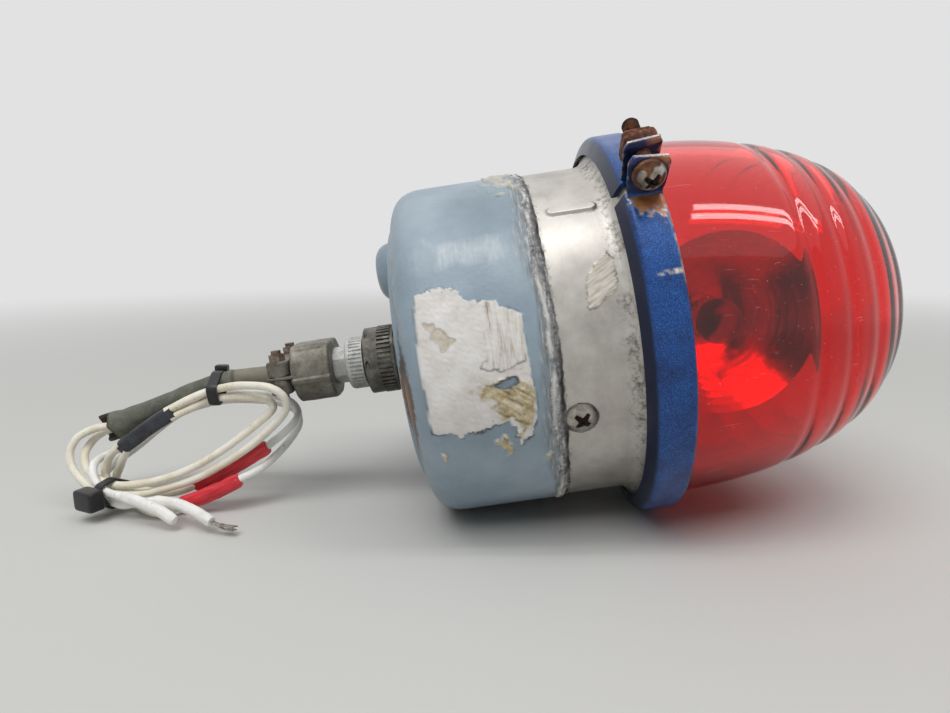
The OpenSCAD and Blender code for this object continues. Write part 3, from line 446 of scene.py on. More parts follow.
def blackNylon():
    # moulded black nylon cable tie, slightly grey with age, with a fine moulded grain
    mat, sockets = newFinish("blackMouldedNylon", roughness=0.32)
    place = addNode(mat, "TexCoord", out="Object")
    grain = addNode(mat, "TexNoise", {"Vector": place, "Scale": perMm(0.9), "Detail": 3.0})
    colour = addNode(mat, "ValToRGB", {"Fac": grain}, stops=[(0.35, "#0b0c0e"), (0.7, "#1c1e22")])
    bump = addNode(mat, "Bump", {"Height": grain, "Strength": 0.15, "Distance": 0.0002})
    feed(mat, sockets, base=colour, normal=bump)
    return mat


def agedRubber():
    # grey-green rubber boot, aged: matt, blotched brown and pale, with fine cracks along it; painted shade
    # inside the mouth and a painted dark line at the foot of its ring
    mat, sockets = newFinish("agedGreyGreenRubber", roughness=0.68, specular=0.35)
    place = addNode(mat, "TexCoord", out="Object")
    wrap = addNode(mat, "UVMap", uv_map="wrap")
    blotch = addNode(mat, "TexNoise",
                     {"Vector": place, "Scale": perMm(8.0), "Detail": 6.0, "Roughness": 0.65})
    fine = addNode(mat, "TexNoise", {"Vector": place, "Scale": perMm(1.1), "Detail": 4.0})
    crack = addNode(mat, "TexVoronoi", {"Vector": wrap, "Scale": perMm(2.6)}, feature="DISTANCE_TO_EDGE")
    tone = addNode(mat, "ValToRGB", {"Fac": blotch},
                   stops=[(0.3, "#54564f"), (0.5, "#64665c"), (0.68, "#77766a")])
    dust = addNode(mat, "ValToRGB", {"Fac": fine}, stops=[(0.58, 0.0), (0.75, 0.25)])
    dusted = addNode(mat, "MixRGB", {"Fac": dust, "Color1": tone, "Color2": "#a8a595"})
    split = addNode(mat, "ValToRGB", {"Fac": crack}, stops=[(0.0, 0.2), (0.03, 0.0)])
    mark = {key: addNode(mat, "Attribute", attribute_name=key, out="Fac")
            for key in ("inside", "near", "groove")}
    colour = addNode(mat, "MixRGB", {"Fac": split, "Color1": dusted, "Color2": "#3b3d38"})
    rubbed = addNode(mat, "MixRGB", {"Fac": mark["near"], "Color1": colour, "Color2": "#96907f"})
    # painted shade: a dark line at the foot of the ring's step
    stepped = addNode(mat, "MixRGB", {"Fac": mark["groove"], "Color1": rubbed, "Color2": "#22241f"})
    # painted shade: the inside of the mouth goes dark
    shadowLined = addNode(mat, "MixRGB", {"Fac": mark["inside"], "Color1": stepped, "Color2": "#3f3a31"})
    bump = addNode(mat, "Bump", {"Height": fine, "Strength": 0.35, "Distance": 0.0004})
    feed(mat, sockets, base=shadowLined, normal=bump)
    return mat


def tinnedCopper():
    # tinned copper strands, dull grey with brown oxide
    mat, sockets = newFinish("tinnedCopperStrands", metallic=1.0, roughness=0.42)
    place = addNode(mat, "TexCoord", out="Object")
    oxide = addNode(mat, "TexNoise", {"Vector": place, "Scale": perMm(1.5), "Detail": 3.0})
    colour = addNode(mat, "ValToRGB", {"Fac": oxide}, stops=[(0.35, "#7d7468"), (0.65, "#b9b7b0")])
    feed(mat, sockets, base=colour)
    return mat


redFinish, shrinkFinish, nylonFinish, rubberFinish = redShrink(), blackShrink(), blackNylon(), agedRubber()
strandFinish = tinnedCopper()

wires, sleeves = {}, {}
for run, finish in (("supply", creamInsulation), ("link", creamInsulation), ("tail", whiteInsulation)):
    for end in "AB":
        wires[run + end] = makeWire(run + "Wire" + end, run + end, finish, run + "_wire_" + end.lower())
for run, finish in (("red", redFinish), ("tail", whiteInsulation)):
    for number, end in enumerate("AB"):
        sleeves[run + end] = makeSleeve(run + "Sleeve" + end, run + "Sleeve", number, finish,
                                        run + "_sleeve_" + end.lower())

# splice: flat heat-shrink sleeve over two wires side by side, so its section has two lobes
splice = {"half": (1.6, 2.65), "lobe": 0.1, "wrinkle": 0.06}


def makeSplice():
    # ellipse pinched in the middle of its long sides, drawn in at both ends, with shallow lengthwise wrinkles
    path = curveThrough(harness["splice"], 16)
    length = lengthAlong(path)
    ends = np.minimum(length, length[-1] - length)
    angle = np.linspace(0, 2 * np.pi, 33)
    size = (0.84 + 0.16 * ease(ends, 0.0, 2.2))[:, None]
    pinch = 1 - splice["lobe"] * np.cos(angle) ** 6
    crease = splice["wrinkle"] * np.sin(5 * angle + 3 * lumps(path, 12.0, 11)[:, None])
    section = np.stack([(splice["half"][0] * size * pinch + crease) * np.cos(angle),
                        (splice["half"][1] * size + crease) * np.sin(angle)], -1)
    grid, uv = carried(path, section)
    return makePiece("spliceSleeve", [{"grid": onFloor(grid), "map": uv}], "plug", shrinkFinish,
                     ["splice_sleeve"])


# frayed bare strands at one cut end
strands = {"count": 14, "across": 0.42, "spread": 0.85}


def makeStrands():
    # thin round wires that start in one bundle and drift apart by their own direction as they go on
    core = curveThrough(harness["strands"], 5)
    share = np.linspace(0, 1, len(core))[:, None]
    draw = np.random.default_rng(21)
    sheets = []
    for place in draw.normal(size=(strands["count"], 2)):
        drift = np.array([0.0, place[0], abs(place[1])]) * (0.3 + strands["spread"] * share ** 1.5)
        wave = 0.25 * np.sin(6 * share + place[0] * 5) * share
        path = core + drift * 0.75 + np.array([0.0, 1.0, 0.4]) * wave
        grid, uv = carried(path[:len(path) - draw.integers(0, 3)], roundSection(strands["across"] / 2, 6))
        sheets.append({"grid": onFloor(grid), "map": uv})
    return makePiece("bareStrands", sheets, "plug", strandFinish, ["bare_strands"])


# boot: half-sizes in mm at places along its centre line, from the saddles to the torn mouth
boot = {"path": [(-39.1, 0, 46.46), (-44.95, 0, 45.62), (-51.87, 0, 44.62), (-66, 0, 43), (-76, 0, 40),
                 (-87, 0, 35), (-101, 0, 29), (-112, 0, 25)],
        "radius": [(0, 3.4), (24, 3.3), (31, 3.0), (38, 3.1), (50, 3.6), (66, 4.4), (80, 5.4)],
        "wall": 0.9, "mouthDepth": 18.0, "ragged": 0.5, "cutBack": 6.0, "ringAt": 25.5, "ringHeight": 0.35}


def makeBoot():
    # outer skin to the mouth and inner skin back from it; the mouth's edge is cut back on the camera's side
    path = curveThrough(boot["path"], 14)
    length = lengthAlong(path)
    angle = np.linspace(0, 2 * np.pi, 41)
    radius = np.interp(length, *np.transpose(boot["radius"]))
    radius += boot["ringHeight"] * hump(length - boot["ringAt"], 0.7)
    spot = joined(6 * np.cos(angle), 6 * np.sin(angle), length[:, None])
    dent = 0.14 * lumps(spot, 11.0, 31) + 0.05 * lumps(spot, 4.0, 32)
    flare = 0.5 * ease(length, length[-1] - 7, length[-1])[:, None] * lumps(spot, 9.0, 33)
    outer = radius[:, None] + dent + flare
    ring = np.stack([np.cos(angle), np.sin(angle)], -1)
    skin, uv = carried(path, outer[..., None] * ring, capped=False)
    lining, liningMap = carried(path, (outer - boot["wall"])[..., None] * ring, capped=False)
    way = (path[-1] - path[-2]) / np.linalg.norm(path[-1] - path[-2])
    facing = (path[-1, 1] - skin[-1, :, 1]) / outer[-1]
    tear = boot["ragged"] * (lumps(spot[-1], 7.0, 34) - 1) - boot["cutBack"] * ease(facing, -0.35, 0.35)
    shift = ease(length, length[-1] - 16, length[-1])[:, None, None] * tear[:, None] * way
    skin, lining = skin + shift, lining + shift
    deep = length > length[-1] - boot["mouthDepth"]
    back = lining[deep][::-1]
    start = np.broadcast_to(path[0], skin[:1].shape)
    end = np.broadcast_to(back[-1].mean(0), skin[:1].shape)
    grid = np.concatenate([start, skin, back, end])
    rows = np.concatenate([uv[:1], uv, liningMap[deep][::-1], uv[:1]])
    # inside: the inner skin and the end caps, painted dark as shade
    within = np.concatenate([np.zeros(len(skin)), np.ones(len(back) + 2)])[:, None]
    toMouth = np.concatenate([length[:1], length, np.full(len(back) + 1, length[-1])])[:, None]
    near = 0.5 * ease(boot["ringAt"] - toMouth, -0.5, 0.5)
    # groove: a painted line of shade one millimetre before the ring's crest
    groove = 0.85 * hump(toMouth - boot["ringAt"] + 1.0, 0.5)
    return makePiece("cableBoot", [{"grid": onFloor(grid), "map": rows,
                                    "marks": {"inside": within, "near": near, "groove": groove}}], "plug",
                     rubberFinish, ["cable_boot"], sharp=60)


# cable ties: the rounds that each strap holds as (across, up, radius), its width, place, turn and head
ties = {"thick": 1.0,
        "bundle": {"holds": [(-1.13, -0.35, 1.4), (-0.71, 2.39, 1.4), (3.4, 0.15, 1.4), (2.73, -2.65, 1.4),
                             (-4.02, 1.81, 1.4), (-1.75, -3.23, 1.4)],
                   "width": 3.4, "place": (-102.3, -11.6, 7.6), "turn": -25.0,
                   "head": (9.0, 5.4, 7.0), "headAt": (-0.8, -8.6, -0.2)},
        "boot": {"holds": [(3.0, 1.2, 3.3), (-2.1, -0.2, 1.4), (-0.9, -3.5, 1.4)],
                 "width": 3.6, "place": (-69, -3, 41), "turn": 0.0,
                 "head": (4.4, 3.0, 4.6), "headAt": (0.0, 6.6, 4.6)}}


def makeTie(name, tie, node):
    # strap: a strip carried round the hull of the rounds, whose point for each way out is on the round that
    # reaches farthest that way; head: a cushion
    turn = np.linspace(0, 2 * np.pi, 145)
    out = np.stack([np.cos(turn), np.sin(turn)], -1)
    holds = np.array(tie["holds"])
    far = np.argmax(out @ holds[:, :2].T + holds[:, 2], 1)
    hull = holds[far, :2] + (holds[far, 2:] + ties["thick"] / 2) * out
    loop = resampled(hull, np.linspace(0, lengthAlong(hull)[-1], 97))
    loop = np.concatenate([np.zeros((97, 1)), loop], 1)
    corner = np.linspace(0, 2 * np.pi, 17)
    strip = joined(squared(np.cos(corner), 0.4) * tie["width"] / 2,
                   squared(np.sin(corner), 0.6) * ties["thick"] / 2)
    band, uv = carried(np.vstack([loop[:-1], loop[:1]]), strip, first=(1, 0, 0), capped=False)
    band[-1] = band[0]
    head = cushion(tie["head"], 20, 0.28) + np.array(tie["headAt"])
    turned = math.radians(tie["turn"])
    cos, sin = math.cos(turned), math.sin(turned)
    spin = np.array([[cos, -sin, 0], [sin, cos, 0], [0, 0, 1]])
    strap, block = (onFloor(grid @ spin.T + np.array(tie["place"])) for grid in (band, head))
    return makePiece(name, [{"grid": strap, "map": uv}, {"grid": block}], "plug", nylonFinish, [node])


spliceSleeve, bareStrands = makeSplice(), makeStrands()
makeBoot()
for kind in ("bundle", "boot"):
    makeTie(kind + "Tie", ties[kind], kind + "_tie")


# rear can: profile in mm, worn marks as outlines of (degrees from the top, mm along)
can = {"radius": 54.0, "length": 41.0, "corner": 10.5, "wall": 1.6, "hole": 10.0, "columns": 600,
       "bulge": {"off": 28.8, "radius": 10.0, "height": 8.5, "corner": 7.0}, "rim": {"at": 42.0, "half": 1.4},
       "crustThick": 0.34, "wipe": (0.62, 0.78), "seam": (35.8, 38.5), "rustTurn": 95,
       "crust": [(64.4, 7.0), (63.8, 16.4), (67.9, 21.7), (67.7, 24.9), (69.6, 27.7), (74.0, 34.2),
                 (81.2, 33.9), (89.2, 34.5), (96.8, 35.0), (104.0, 34.6), (110.0, 33.0), (112.2, 29.6),
                 (107.3, 28.3), (104.3, 26.5), (104.5, 23.0), (106.8, 19.0), (106.3, 12.2), (105.0, 6.4),
                 (96.7, 6.0), (84.7, 5.8), (70.3, 6.3)],
       "wrinkled": [(68.8, 25.1), (73.1, 33.3), (74.7, 34.1), (86.8, 33.3), (87.8, 27.9), (88.5, 24.4),
                    (87.4, 22.8)],
       "glue": [(93.2, 17.2), (92.2, 20.5), (94.1, 23.0), (91.7, 26.7), (90.2, 31.7), (92.9, 34.4),
                (98.4, 35.2), (105.7, 34.1), (112.4, 30.7), (110.1, 28.8), (104.7, 28.6), (101.9, 24.7),
                (97.2, 23.2), (95.9, 20.0)],
       # outline of the pale scuffs and of the painted highlight over them
       "scuff": [(46.7, 10.6), (45.7, 17.9), (47.5, 33.5), (55.4, 35.2), (59.3, 33.3), (57.6, 23.8),
                 (58.1, 12.5)],
       "film": [(4.0, 29.5), (3.0, 38.5), (23.7, 38.5), (30.0, 33.5), (22.0, 30.7)],
       "gash": [(92.8, 24.4), (91.4, 26.4), (90.9, 30.5), (92.7, 31.0), (94.1, 28.5), (94.4, 25.3)],
       "peeled": [(72.8, 8.4), (74.1, 11.7), (78.4, 15.9), (81.5, 12.7), (77.5, 10.6)],
       "drips": [(111.3, 25.1, 1.7), (113.5, 26.3, 1.3), (119.0, 36.8, 1.5), (113.9, 8.2, 0.9),
                 (110.4, 23.0, 1.1)]}


def wornEnamel():
    # satin grey-blue enamel on spun aluminium: powdery pale scuffs with a painted highlight over them, a
    # crust of old white sealant, dried glue, rust, and painted shade along the crust's edges
    mat, sockets = newFinish("satinGreyBlueEnamel", specular=0.5)
    place = addNode(mat, "TexCoord", out="Object")
    wrap = addNode(mat, "UVMap", uv_map="wrap")
    mark = {key: addNode(mat, "Attribute", attribute_name=key, out="Fac")
            for key in ("scuff", "seam", "rust", "wrinkle", "peeled", "glue", "crust", "edge")}
    broad = addNode(mat, "TexNoise", {"Vector": place, "Scale": perMm(22.0), "Detail": 6.0, "Roughness": 0.6})
    peel = addNode(mat, "TexNoise", {"Vector": place, "Scale": perMm(1.1), "Detail": 4.0})
    paint = addNode(mat, "ValToRGB", {"Fac": broad},
                    stops=[(0.3, "#7f909c"), (0.5, "#8e9fac"), (0.7, "#9dadb8")])
    # pale powdery smears with a painted highlight in them, a little longer round the lamp than along it
    drawn = addNode(mat, "Mapping", {"Vector": wrap, "Scale": (perMm(3.6), perMm(1.3), 1.0)})
    streak = addNode(mat, "TexNoise", {"Vector": drawn, "Scale": 1.0, "Detail": 5.0, "Roughness": 0.7})
    scuffAndHighlightStreaks = addNode(mat, "Math", {0: mark["scuff"], 1: streak}, operation="MULTIPLY")
    scuffAndHighlightTone = addNode(mat, "ValToRGB", {"Fac": scuffAndHighlightStreaks}, stops=[(0.15, 0.0), (0.65, 0.6)])
    worn = addNode(mat, "MixRGB", {"Fac": scuffAndHighlightTone, "Color1": paint, "Color2": "#d3d9dd"})
    # dark specks and scratches all over
    speck = addNode(mat, "TexNoise", {"Vector": place, "Scale": perMm(2.3), "Detail": 7.0, "Roughness": 0.7})
    specked = addNode(mat, "ValToRGB", {"Fac": speck}, stops=[(0.68, 0.0), (0.76, 0.6)])
    dirty = addNode(mat, "MixRGB", {"Fac": specked, "Color1": worn, "Color2": "#4f5456"})
    # seam: pale smears and dark grime in rings near the can's open end
    smear = addNode(mat, "Mapping", {"Vector": wrap, "Scale": (perMm(5.0), perMm(0.8), 1.0)})
    rings = addNode(mat, "TexNoise", {"Vector": smear, "Scale": 1.0, "Detail": 5.0, "Roughness": 0.6})
    ringed = addNode(mat, "ValToRGB", {"Fac": rings},
                     stops=[(0.3, "#4a4a48"), (0.41, "#6f7679"), (0.56, "#8a9297"), (0.7, "#c6c6c2")])
    seamed = addNode(mat, "MixRGB", {"Fac": mark["seam"], "Color1": dirty, "Color2": ringed})
    # rust, grime and yellow stains on the rear rim
    rusty = addNode(mat, "Math", {0: mark["rust"], 1: speck}, operation="MULTIPLY")
    rusted = addNode(mat, "ValToRGB", {"Fac": rusty}, stops=[(0.3, 0.0), (0.5, 0.9)])
    stain = addNode(mat, "ValToRGB", {"Fac": broad}, stops=[(0.42, "#3d3a35"), (0.6, "#7d5330")])
    stained = addNode(mat, "MixRGB", {"Fac": rusted, "Color1": seamed, "Color2": stain})
    # crust: matt white with grey and pink tints, wrinkles that run round the lamp, tan where it peeled
    folded = addNode(mat, "Mapping", {"Vector": wrap, "Scale": (perMm(9.0), perMm(1.2), 1.0)})
    fold = addNode(mat, "TexNoise", {"Vector": folded, "Scale": 1.0, "Detail": 6.0, "Roughness": 0.66})
    tint = addNode(mat, "TexNoise", {"Vector": place, "Scale": perMm(8.0), "Detail": 8.0, "Roughness": 0.7})
    smooth = addNode(mat, "ValToRGB", {"Fac": tint},
                     stops=[(0.28, "#c6beb7"), (0.42, "#dcd7d3"), (0.56, "#e7e4e1"), (0.72, "#eeedeb")])
    ridged = addNode(mat, "ValToRGB", {"Fac": fold},
                     stops=[(0.3, "#998d7c"), (0.43, "#d5cfc7"), (0.56, "#e6e3df")])
    whiting = addNode(mat, "MixRGB", {"Fac": mark["wrinkle"], "Color1": smooth, "Color2": ridged})
    tan = addNode(mat, "ValToRGB", {"Fac": speck}, stops=[(0.35, "#b0a38b"), (0.6, "#d8cebb")])
    whitened = addNode(mat, "MixRGB", {"Fac": mark["peeled"], "Color1": whiting, "Color2": tan})
    ochre = addNode(mat, "ValToRGB", {"Fac": speck},
                    stops=[(0.3, "#8f7e5a"), (0.44, "#b3a27b"), (0.56, "#d0c3a3"), (0.66, "#e2dccb")])
    glued = addNode(mat, "MixRGB", {"Fac": mark["glue"], "Color1": whitened, "Color2": ochre})
    crusted = addNode(mat, "MixRGB", {"Fac": mark["crust"], "Color1": stained, "Color2": glued})
    # painted shade: dark along the crust's edges and in its hollows
    edged = addNode(mat, "MixRGB", {"Fac": mark["edge"], "Color1": crusted, "Color2": "#3a352e"})
    rough = addNode(mat, "MixRGB", {"Fac": mark["crust"], "Color1": (0.36, 0.36, 0.36, 1),
                                    "Color2": (0.8, 0.8, 0.8, 1)})
    chalkRough = addNode(mat, "MixRGB", {"Fac": scuffAndHighlightTone, "Color1": rough, "Color2": (0.5, 0.5, 0.5, 1)})
    grain = addNode(mat, "MixRGB", {"Fac": mark["wrinkle"], "Color1": tint, "Color2": fold})
    relief = addNode(mat, "MixRGB", {"Fac": mark["crust"], "Color1": peel, "Color2": grain})
    bump = addNode(mat, "Bump", {"Height": relief, "Strength": 0.2, "Distance": 0.0006})
    feed(mat, sockets, base=edged, roughness=chalkRough, normal=bump)
    return mat


def makeCan():
    # a spun cup with its crust standing out of the wall, and the motor's bulge as a second, smaller cup
    half, wall, corner, rim = can["radius"], can["wall"], can["corner"], can["rim"]
    outer = softLine([(0, can["hole"]), (0, half), (can["length"], half)], [corner], 0.2)
    reach = lengthAlong(outer)[-1]
    # rows stand close at the rolled rim and along the wall
    rows = [np.linspace(0, 30, 7), np.arange(30.4, 34.4, 0.35), np.arange(34.8, 47, 0.7),
            np.arange(47.2, reach - 0.2, 0.4), [reach]]
    outer = resampled(outer, np.concatenate(rows))
    inner = softLine([(can["length"], half - wall), (wall, half - wall), (wall, can["hole"])],
                     [corner - wall], 3.0)
    turns = closeTurns(can["columns"])
    along, radius = outer[:, :1], outer[:, 1:]
    along = along - np.sqrt(np.maximum(0, rim["half"] ** 2 - (radius - rim["at"]) ** 2)) * (along < 0.5)
    spot = around(along, radius, turns) * 1000
    onWall = ease(along, 3.5, 6.5)
    # the crust is torn above and below and cut straight at its two ends
    torn = 0.3 + 0.7 * ease(along, 8.0, 13.0) * ease(-along, -33.0, -29.0)
    ragged = torn * (0.8 * lumps(spot, 7.0, 41) + 0.4 * lumps(spot, 2.4, 42) + 0.2 * lumps(spot, 1.0, 40))
    crustBy = insideBy(turns, along, can["crust"], half) + ragged
    glueBy = insideBy(turns, along, can["glue"], half) + ragged + 1.2 * lumps(spot, 3.0, 39)
    drip = ease(insideBy(turns, along, can["film"], half) + 2.4 * lumps(spot, 5.0, 37), 0.6, 1.2) * 0.7
    for turn, at, size in can["drips"]:
        gap = np.hypot(np.radians(turns - turn) * half / 1.7, along - at) + 0.45 * lumps(spot, 2.4, 42)
        drip = np.maximum(drip, ease(size - gap, 0, size * 0.6))
    peelBy = insideBy(turns, along, can["peeled"], half) + 0.5 * lumps(spot, 2.4, 42)
    peeled = ease(peelBy, -0.1, 0.35)
    gashBy = insideBy(turns, along, can["gash"], half) + 0.3 * lumps(spot, 1.8, 50)
    crust = np.maximum(ease(np.minimum(crustBy, -gashBy), -0.1, 0.25), drip)
    glue = np.maximum(ease(glueBy, -0.3, 0.9), drip)
    wrinkleBy = insideBy(turns, along, can["wrinkled"], half) + ragged
    wrinkle = ease(wrinkleBy, -0.4, 0.6)
    fold = lumps(spot * [1.0, 0.12, 0.12], 1.5, 43)
    thick = crust * (can["crustThick"] + 0.1 * lumps(spot, 6.0, 44) + 0.04 * lumps(spot, 1.6, 38))
    thick += crust * wrinkle * 0.2 * fold
    # the glue was wiped on: its ridges run down and forward
    arc = np.radians(turns) * half
    ahead, down = can["wipe"]
    wiped = joined(ahead * along - down * arc, 0.12 * (down * along + ahead * arc), 0.0)
    ridge = lumps(wiped, 1.6, 51)
    thick += 0.3 * drip - 0.2 * peeled * crust
    thick += crust * glue * (0.12 + 0.1 * lumps(spot, 2.4, 45) + 0.2 * ridge)
    start, full = can["seam"]
    seam = ease(along, start + 1.8 * lumps(spot, 30.0, 46), full)
    thick += seam * (0.08 + 0.04 * lumps(spot * [3.0, 0.6, 0.6], 6.0, 47))
    # edge: painted shade along the crust's edges, heavier on the lower edge, and at the wrinkles, the peel,
    # the gash and between the glue's ridges
    lower = ease(turns, 98, 104)
    broken = np.clip(0.5 + 0.7 * lumps(spot, 5.0, 48), 0, 1)
    edge = hump(crustBy + 0.2, 0.28) * (0.4 + 0.6 * lower) * broken
    edge = np.maximum(edge, 0.7 * hump(wrinkleBy, 0.3) * ease(turns, 84.0, 86.5))
    edge = np.maximum(edge, 0.35 * hump(peelBy, 0.25))
    edge = np.maximum(edge, 0.75 * hump(gashBy - 0.1, 0.3))
    edge = np.maximum(edge, 0.4 * crust * glue * ease(-ridge, 0.45, 0.9))
    # the pale scuffs and the painted highlight along them, soft at their edge
    scuff = ease(insideBy(turns, along, can["scuff"], half) + 1.0 * lumps(spot, 9.0, 49), -2.0, 5.0)
    rust = hump(along - 0.6, 2.0) * (0.7 + 1.1 * hump(turns - can["rustTurn"], 12.0)) * ease(radius, 40, 42)
    shell = around(along, radius + onWall * thick, turns)
    marks = {"crust": crust * onWall, "glue": glue * onWall, "edge": edge * onWall, "wrinkle": wrinkle,
             "peeled": peeled * 0.8, "scuff": scuff, "seam": 0.85 * seam, "rust": rust}
    lengths = joined(arc, lengthAlong(outer)[:, None]) / 1000
    lining = np.concatenate([shell[-1:], around(inner[:, :1], inner[:, 1:], turns), shell[:1]])
    b = can["bulge"]
    cup = softLine([(0.6, b["radius"] - 0.02), (-b["height"], b["radius"]), (-b["height"], 0.0)],
                   [b["corner"]], 0.7)
    cup = np.vstack([[0.6, 0.0], cup])
    spin = np.radians(np.linspace(0, 360, 97))[None, :]
    ring = cup[:, 1:]
    cap = laid(joined(ring * np.cos(spin) - b["off"], ring * np.sin(spin), cup[:, :1]))
    capMap = joined(spin * b["radius"], lengthAlong(cup)[:, None]) / 1000
    sheets = [{"grid": shell, "map": lengths, "marks": marks}, {"grid": lining}, {"grid": cap, "map": capMap}]
    return makePiece("canShell", sheets, "housing", wornEnamel(), ["rear_can"])


# sealant along the seam, smeared over the step between can and barrel
bead = {"from": 39.2, "to": 42.7, "height": 0.55, "slope": (40.6, 42.6), "columns": 600, "rows": 11}


def oldSealant():
    # old brush-on sealant: grey-white, matt, dirt drawn along its hollows and a black line of painted shadow
    # against the barrel
    mat, sockets = newFinish("smearedSeamSealant", roughness=0.78, specular=0.3)
    wrap = addNode(mat, "UVMap", uv_map="wrap")
    drawn = addNode(mat, "Mapping", {"Vector": wrap, "Scale": (perMm(7.0), perMm(1.0), 1.0)})
    smear = addNode(mat, "TexNoise", {"Vector": drawn, "Scale": 1.0, "Detail": 6.0, "Roughness": 0.66})
    grain = addNode(mat, "TexNoise", {"Vector": wrap, "Scale": perMm(1.5), "Detail": 7.0, "Roughness": 0.7})
    mixed = addNode(mat, "MixRGB", {"Fac": 0.55, "Color1": smear, "Color2": grain})
    colour = addNode(mat, "ValToRGB", {"Fac": mixed},
                     stops=[(0.36, "#2f2d2a"), (0.44, "#6b6a67"), (0.53, "#96979a"), (0.61, "#d6d4d0")])
    mark = {key: addNode(mat, "Attribute", attribute_name=key, out="Fac") for key in ("line", "pale")}
    paled = addNode(mat, "MixRGB", {"Fac": mark["pale"], "Color1": colour, "Color2": "#dedcd8"})
    # painted shadow: the black line in the gap against the barrel
    shadowLined = addNode(mat, "MixRGB", {"Fac": mark["line"], "Color1": paled, "Color2": "#25221e"})
    bump = addNode(mat, "Bump", {"Height": mixed, "Strength": 0.5, "Distance": 0.0006})
    feed(mat, sockets, base=shadowLined, normal=bump)
    return mat


def makeBead():
    # a low hump across the seam whose height and edges wander round the lamp, closed against the metal
    outside, inside, seam = can["radius"], barrel["radius"], can["length"]
    turns = closeTurns(bead["columns"])
    share = np.linspace(0, 1, bead["rows"])[:, None]
    spot = around(seam, outside, turns) * 1000
    start = bead["from"] + 0.6 * lumps(spot, 16.0, 51) + 0.12 * lumps(spot, 4.0, 52)
    stop = bead["to"] + 0.25 * lumps(spot, 14.0, 53) + 0.12 * lumps(spot, 3.0, 54)
    along = start + (stop - start) * share
    rough = 0.07 * lumps(around(along, outside, turns) * 1000, 2.2, 55)
    base = np.where(along < seam, outside, inside)
    height = (bead["height"] * (0.6 + 0.25 * lumps(spot, 9.0, 56)) + rough) * np.sin(np.pi * share) ** 0.6
    near, far = bead["slope"]
    slope = inside + (outside - inside) * ease(-along, -far, -near)
    radius = np.maximum(base, slope) + np.maximum(height, 0.02)
    # painted shadow: the black line's strength, greater on the lower side
    dark = np.clip(0.4 + 0.5 * lumps(spot, 9.0, 57) + 0.6 * ease(turns, 76, 96), 0.1, 1)
    line = hump(share - 0.86, 0.17) * dark
    pale = hump(share - 0.3, 0.14) * np.clip(0.35 + 0.8 * lumps(spot, 10.0, 58), 0, 0.9)
    under = around(along, base - 0.25, turns)
    crown = around(along, radius, turns)
    place = joined(np.radians(turns) * outside, along) / 1000
    sheet = {"grid": np.concatenate([crown, under[::-1], crown[:1]]),
             "map": np.concatenate([place, place[::-1], place[:1]]),
             "marks": {"line": np.concatenate([line, 0 * line, line[:1]]),
                       "pale": np.concatenate([pale, 0 * pale, pale[:1]])}}
    return makePiece("seamBead", [sheet], "housing", oldSealant(), ["seam_sealant"], sharp=70)


# barrel: bare sleeve with its flared lip, the pressed key rib and a torn scrap of residue
barrel = {"radius": 53.4, "from": 41.0, "wall": 1.6, "flare": 3.4, "columns": 640,
          "lip": [(62.96, 53.4), (66.28, 60.3), (67.7, 60.3)],
          "spigot": [(41.0, 50.75), (34.0, 50.75), (34.0, 52.35), (41.0, 52.35)],
          "rib": {"turn": 42.0, "from": 45.6, "to": 59.6, "half": 1.7, "height": 0.8},
          "screws": (107.0, 197.0, 287.0), "screwAt": 46.6, "grime": (55.5, 62.5),
          "residue": [(58.8, 59.1), (62.8, 60.8), (71.2, 59.6), (73.9, 55.8), (75.9, 51.7), (68.5, 52.2),
                      (64.1, 54.3)]}


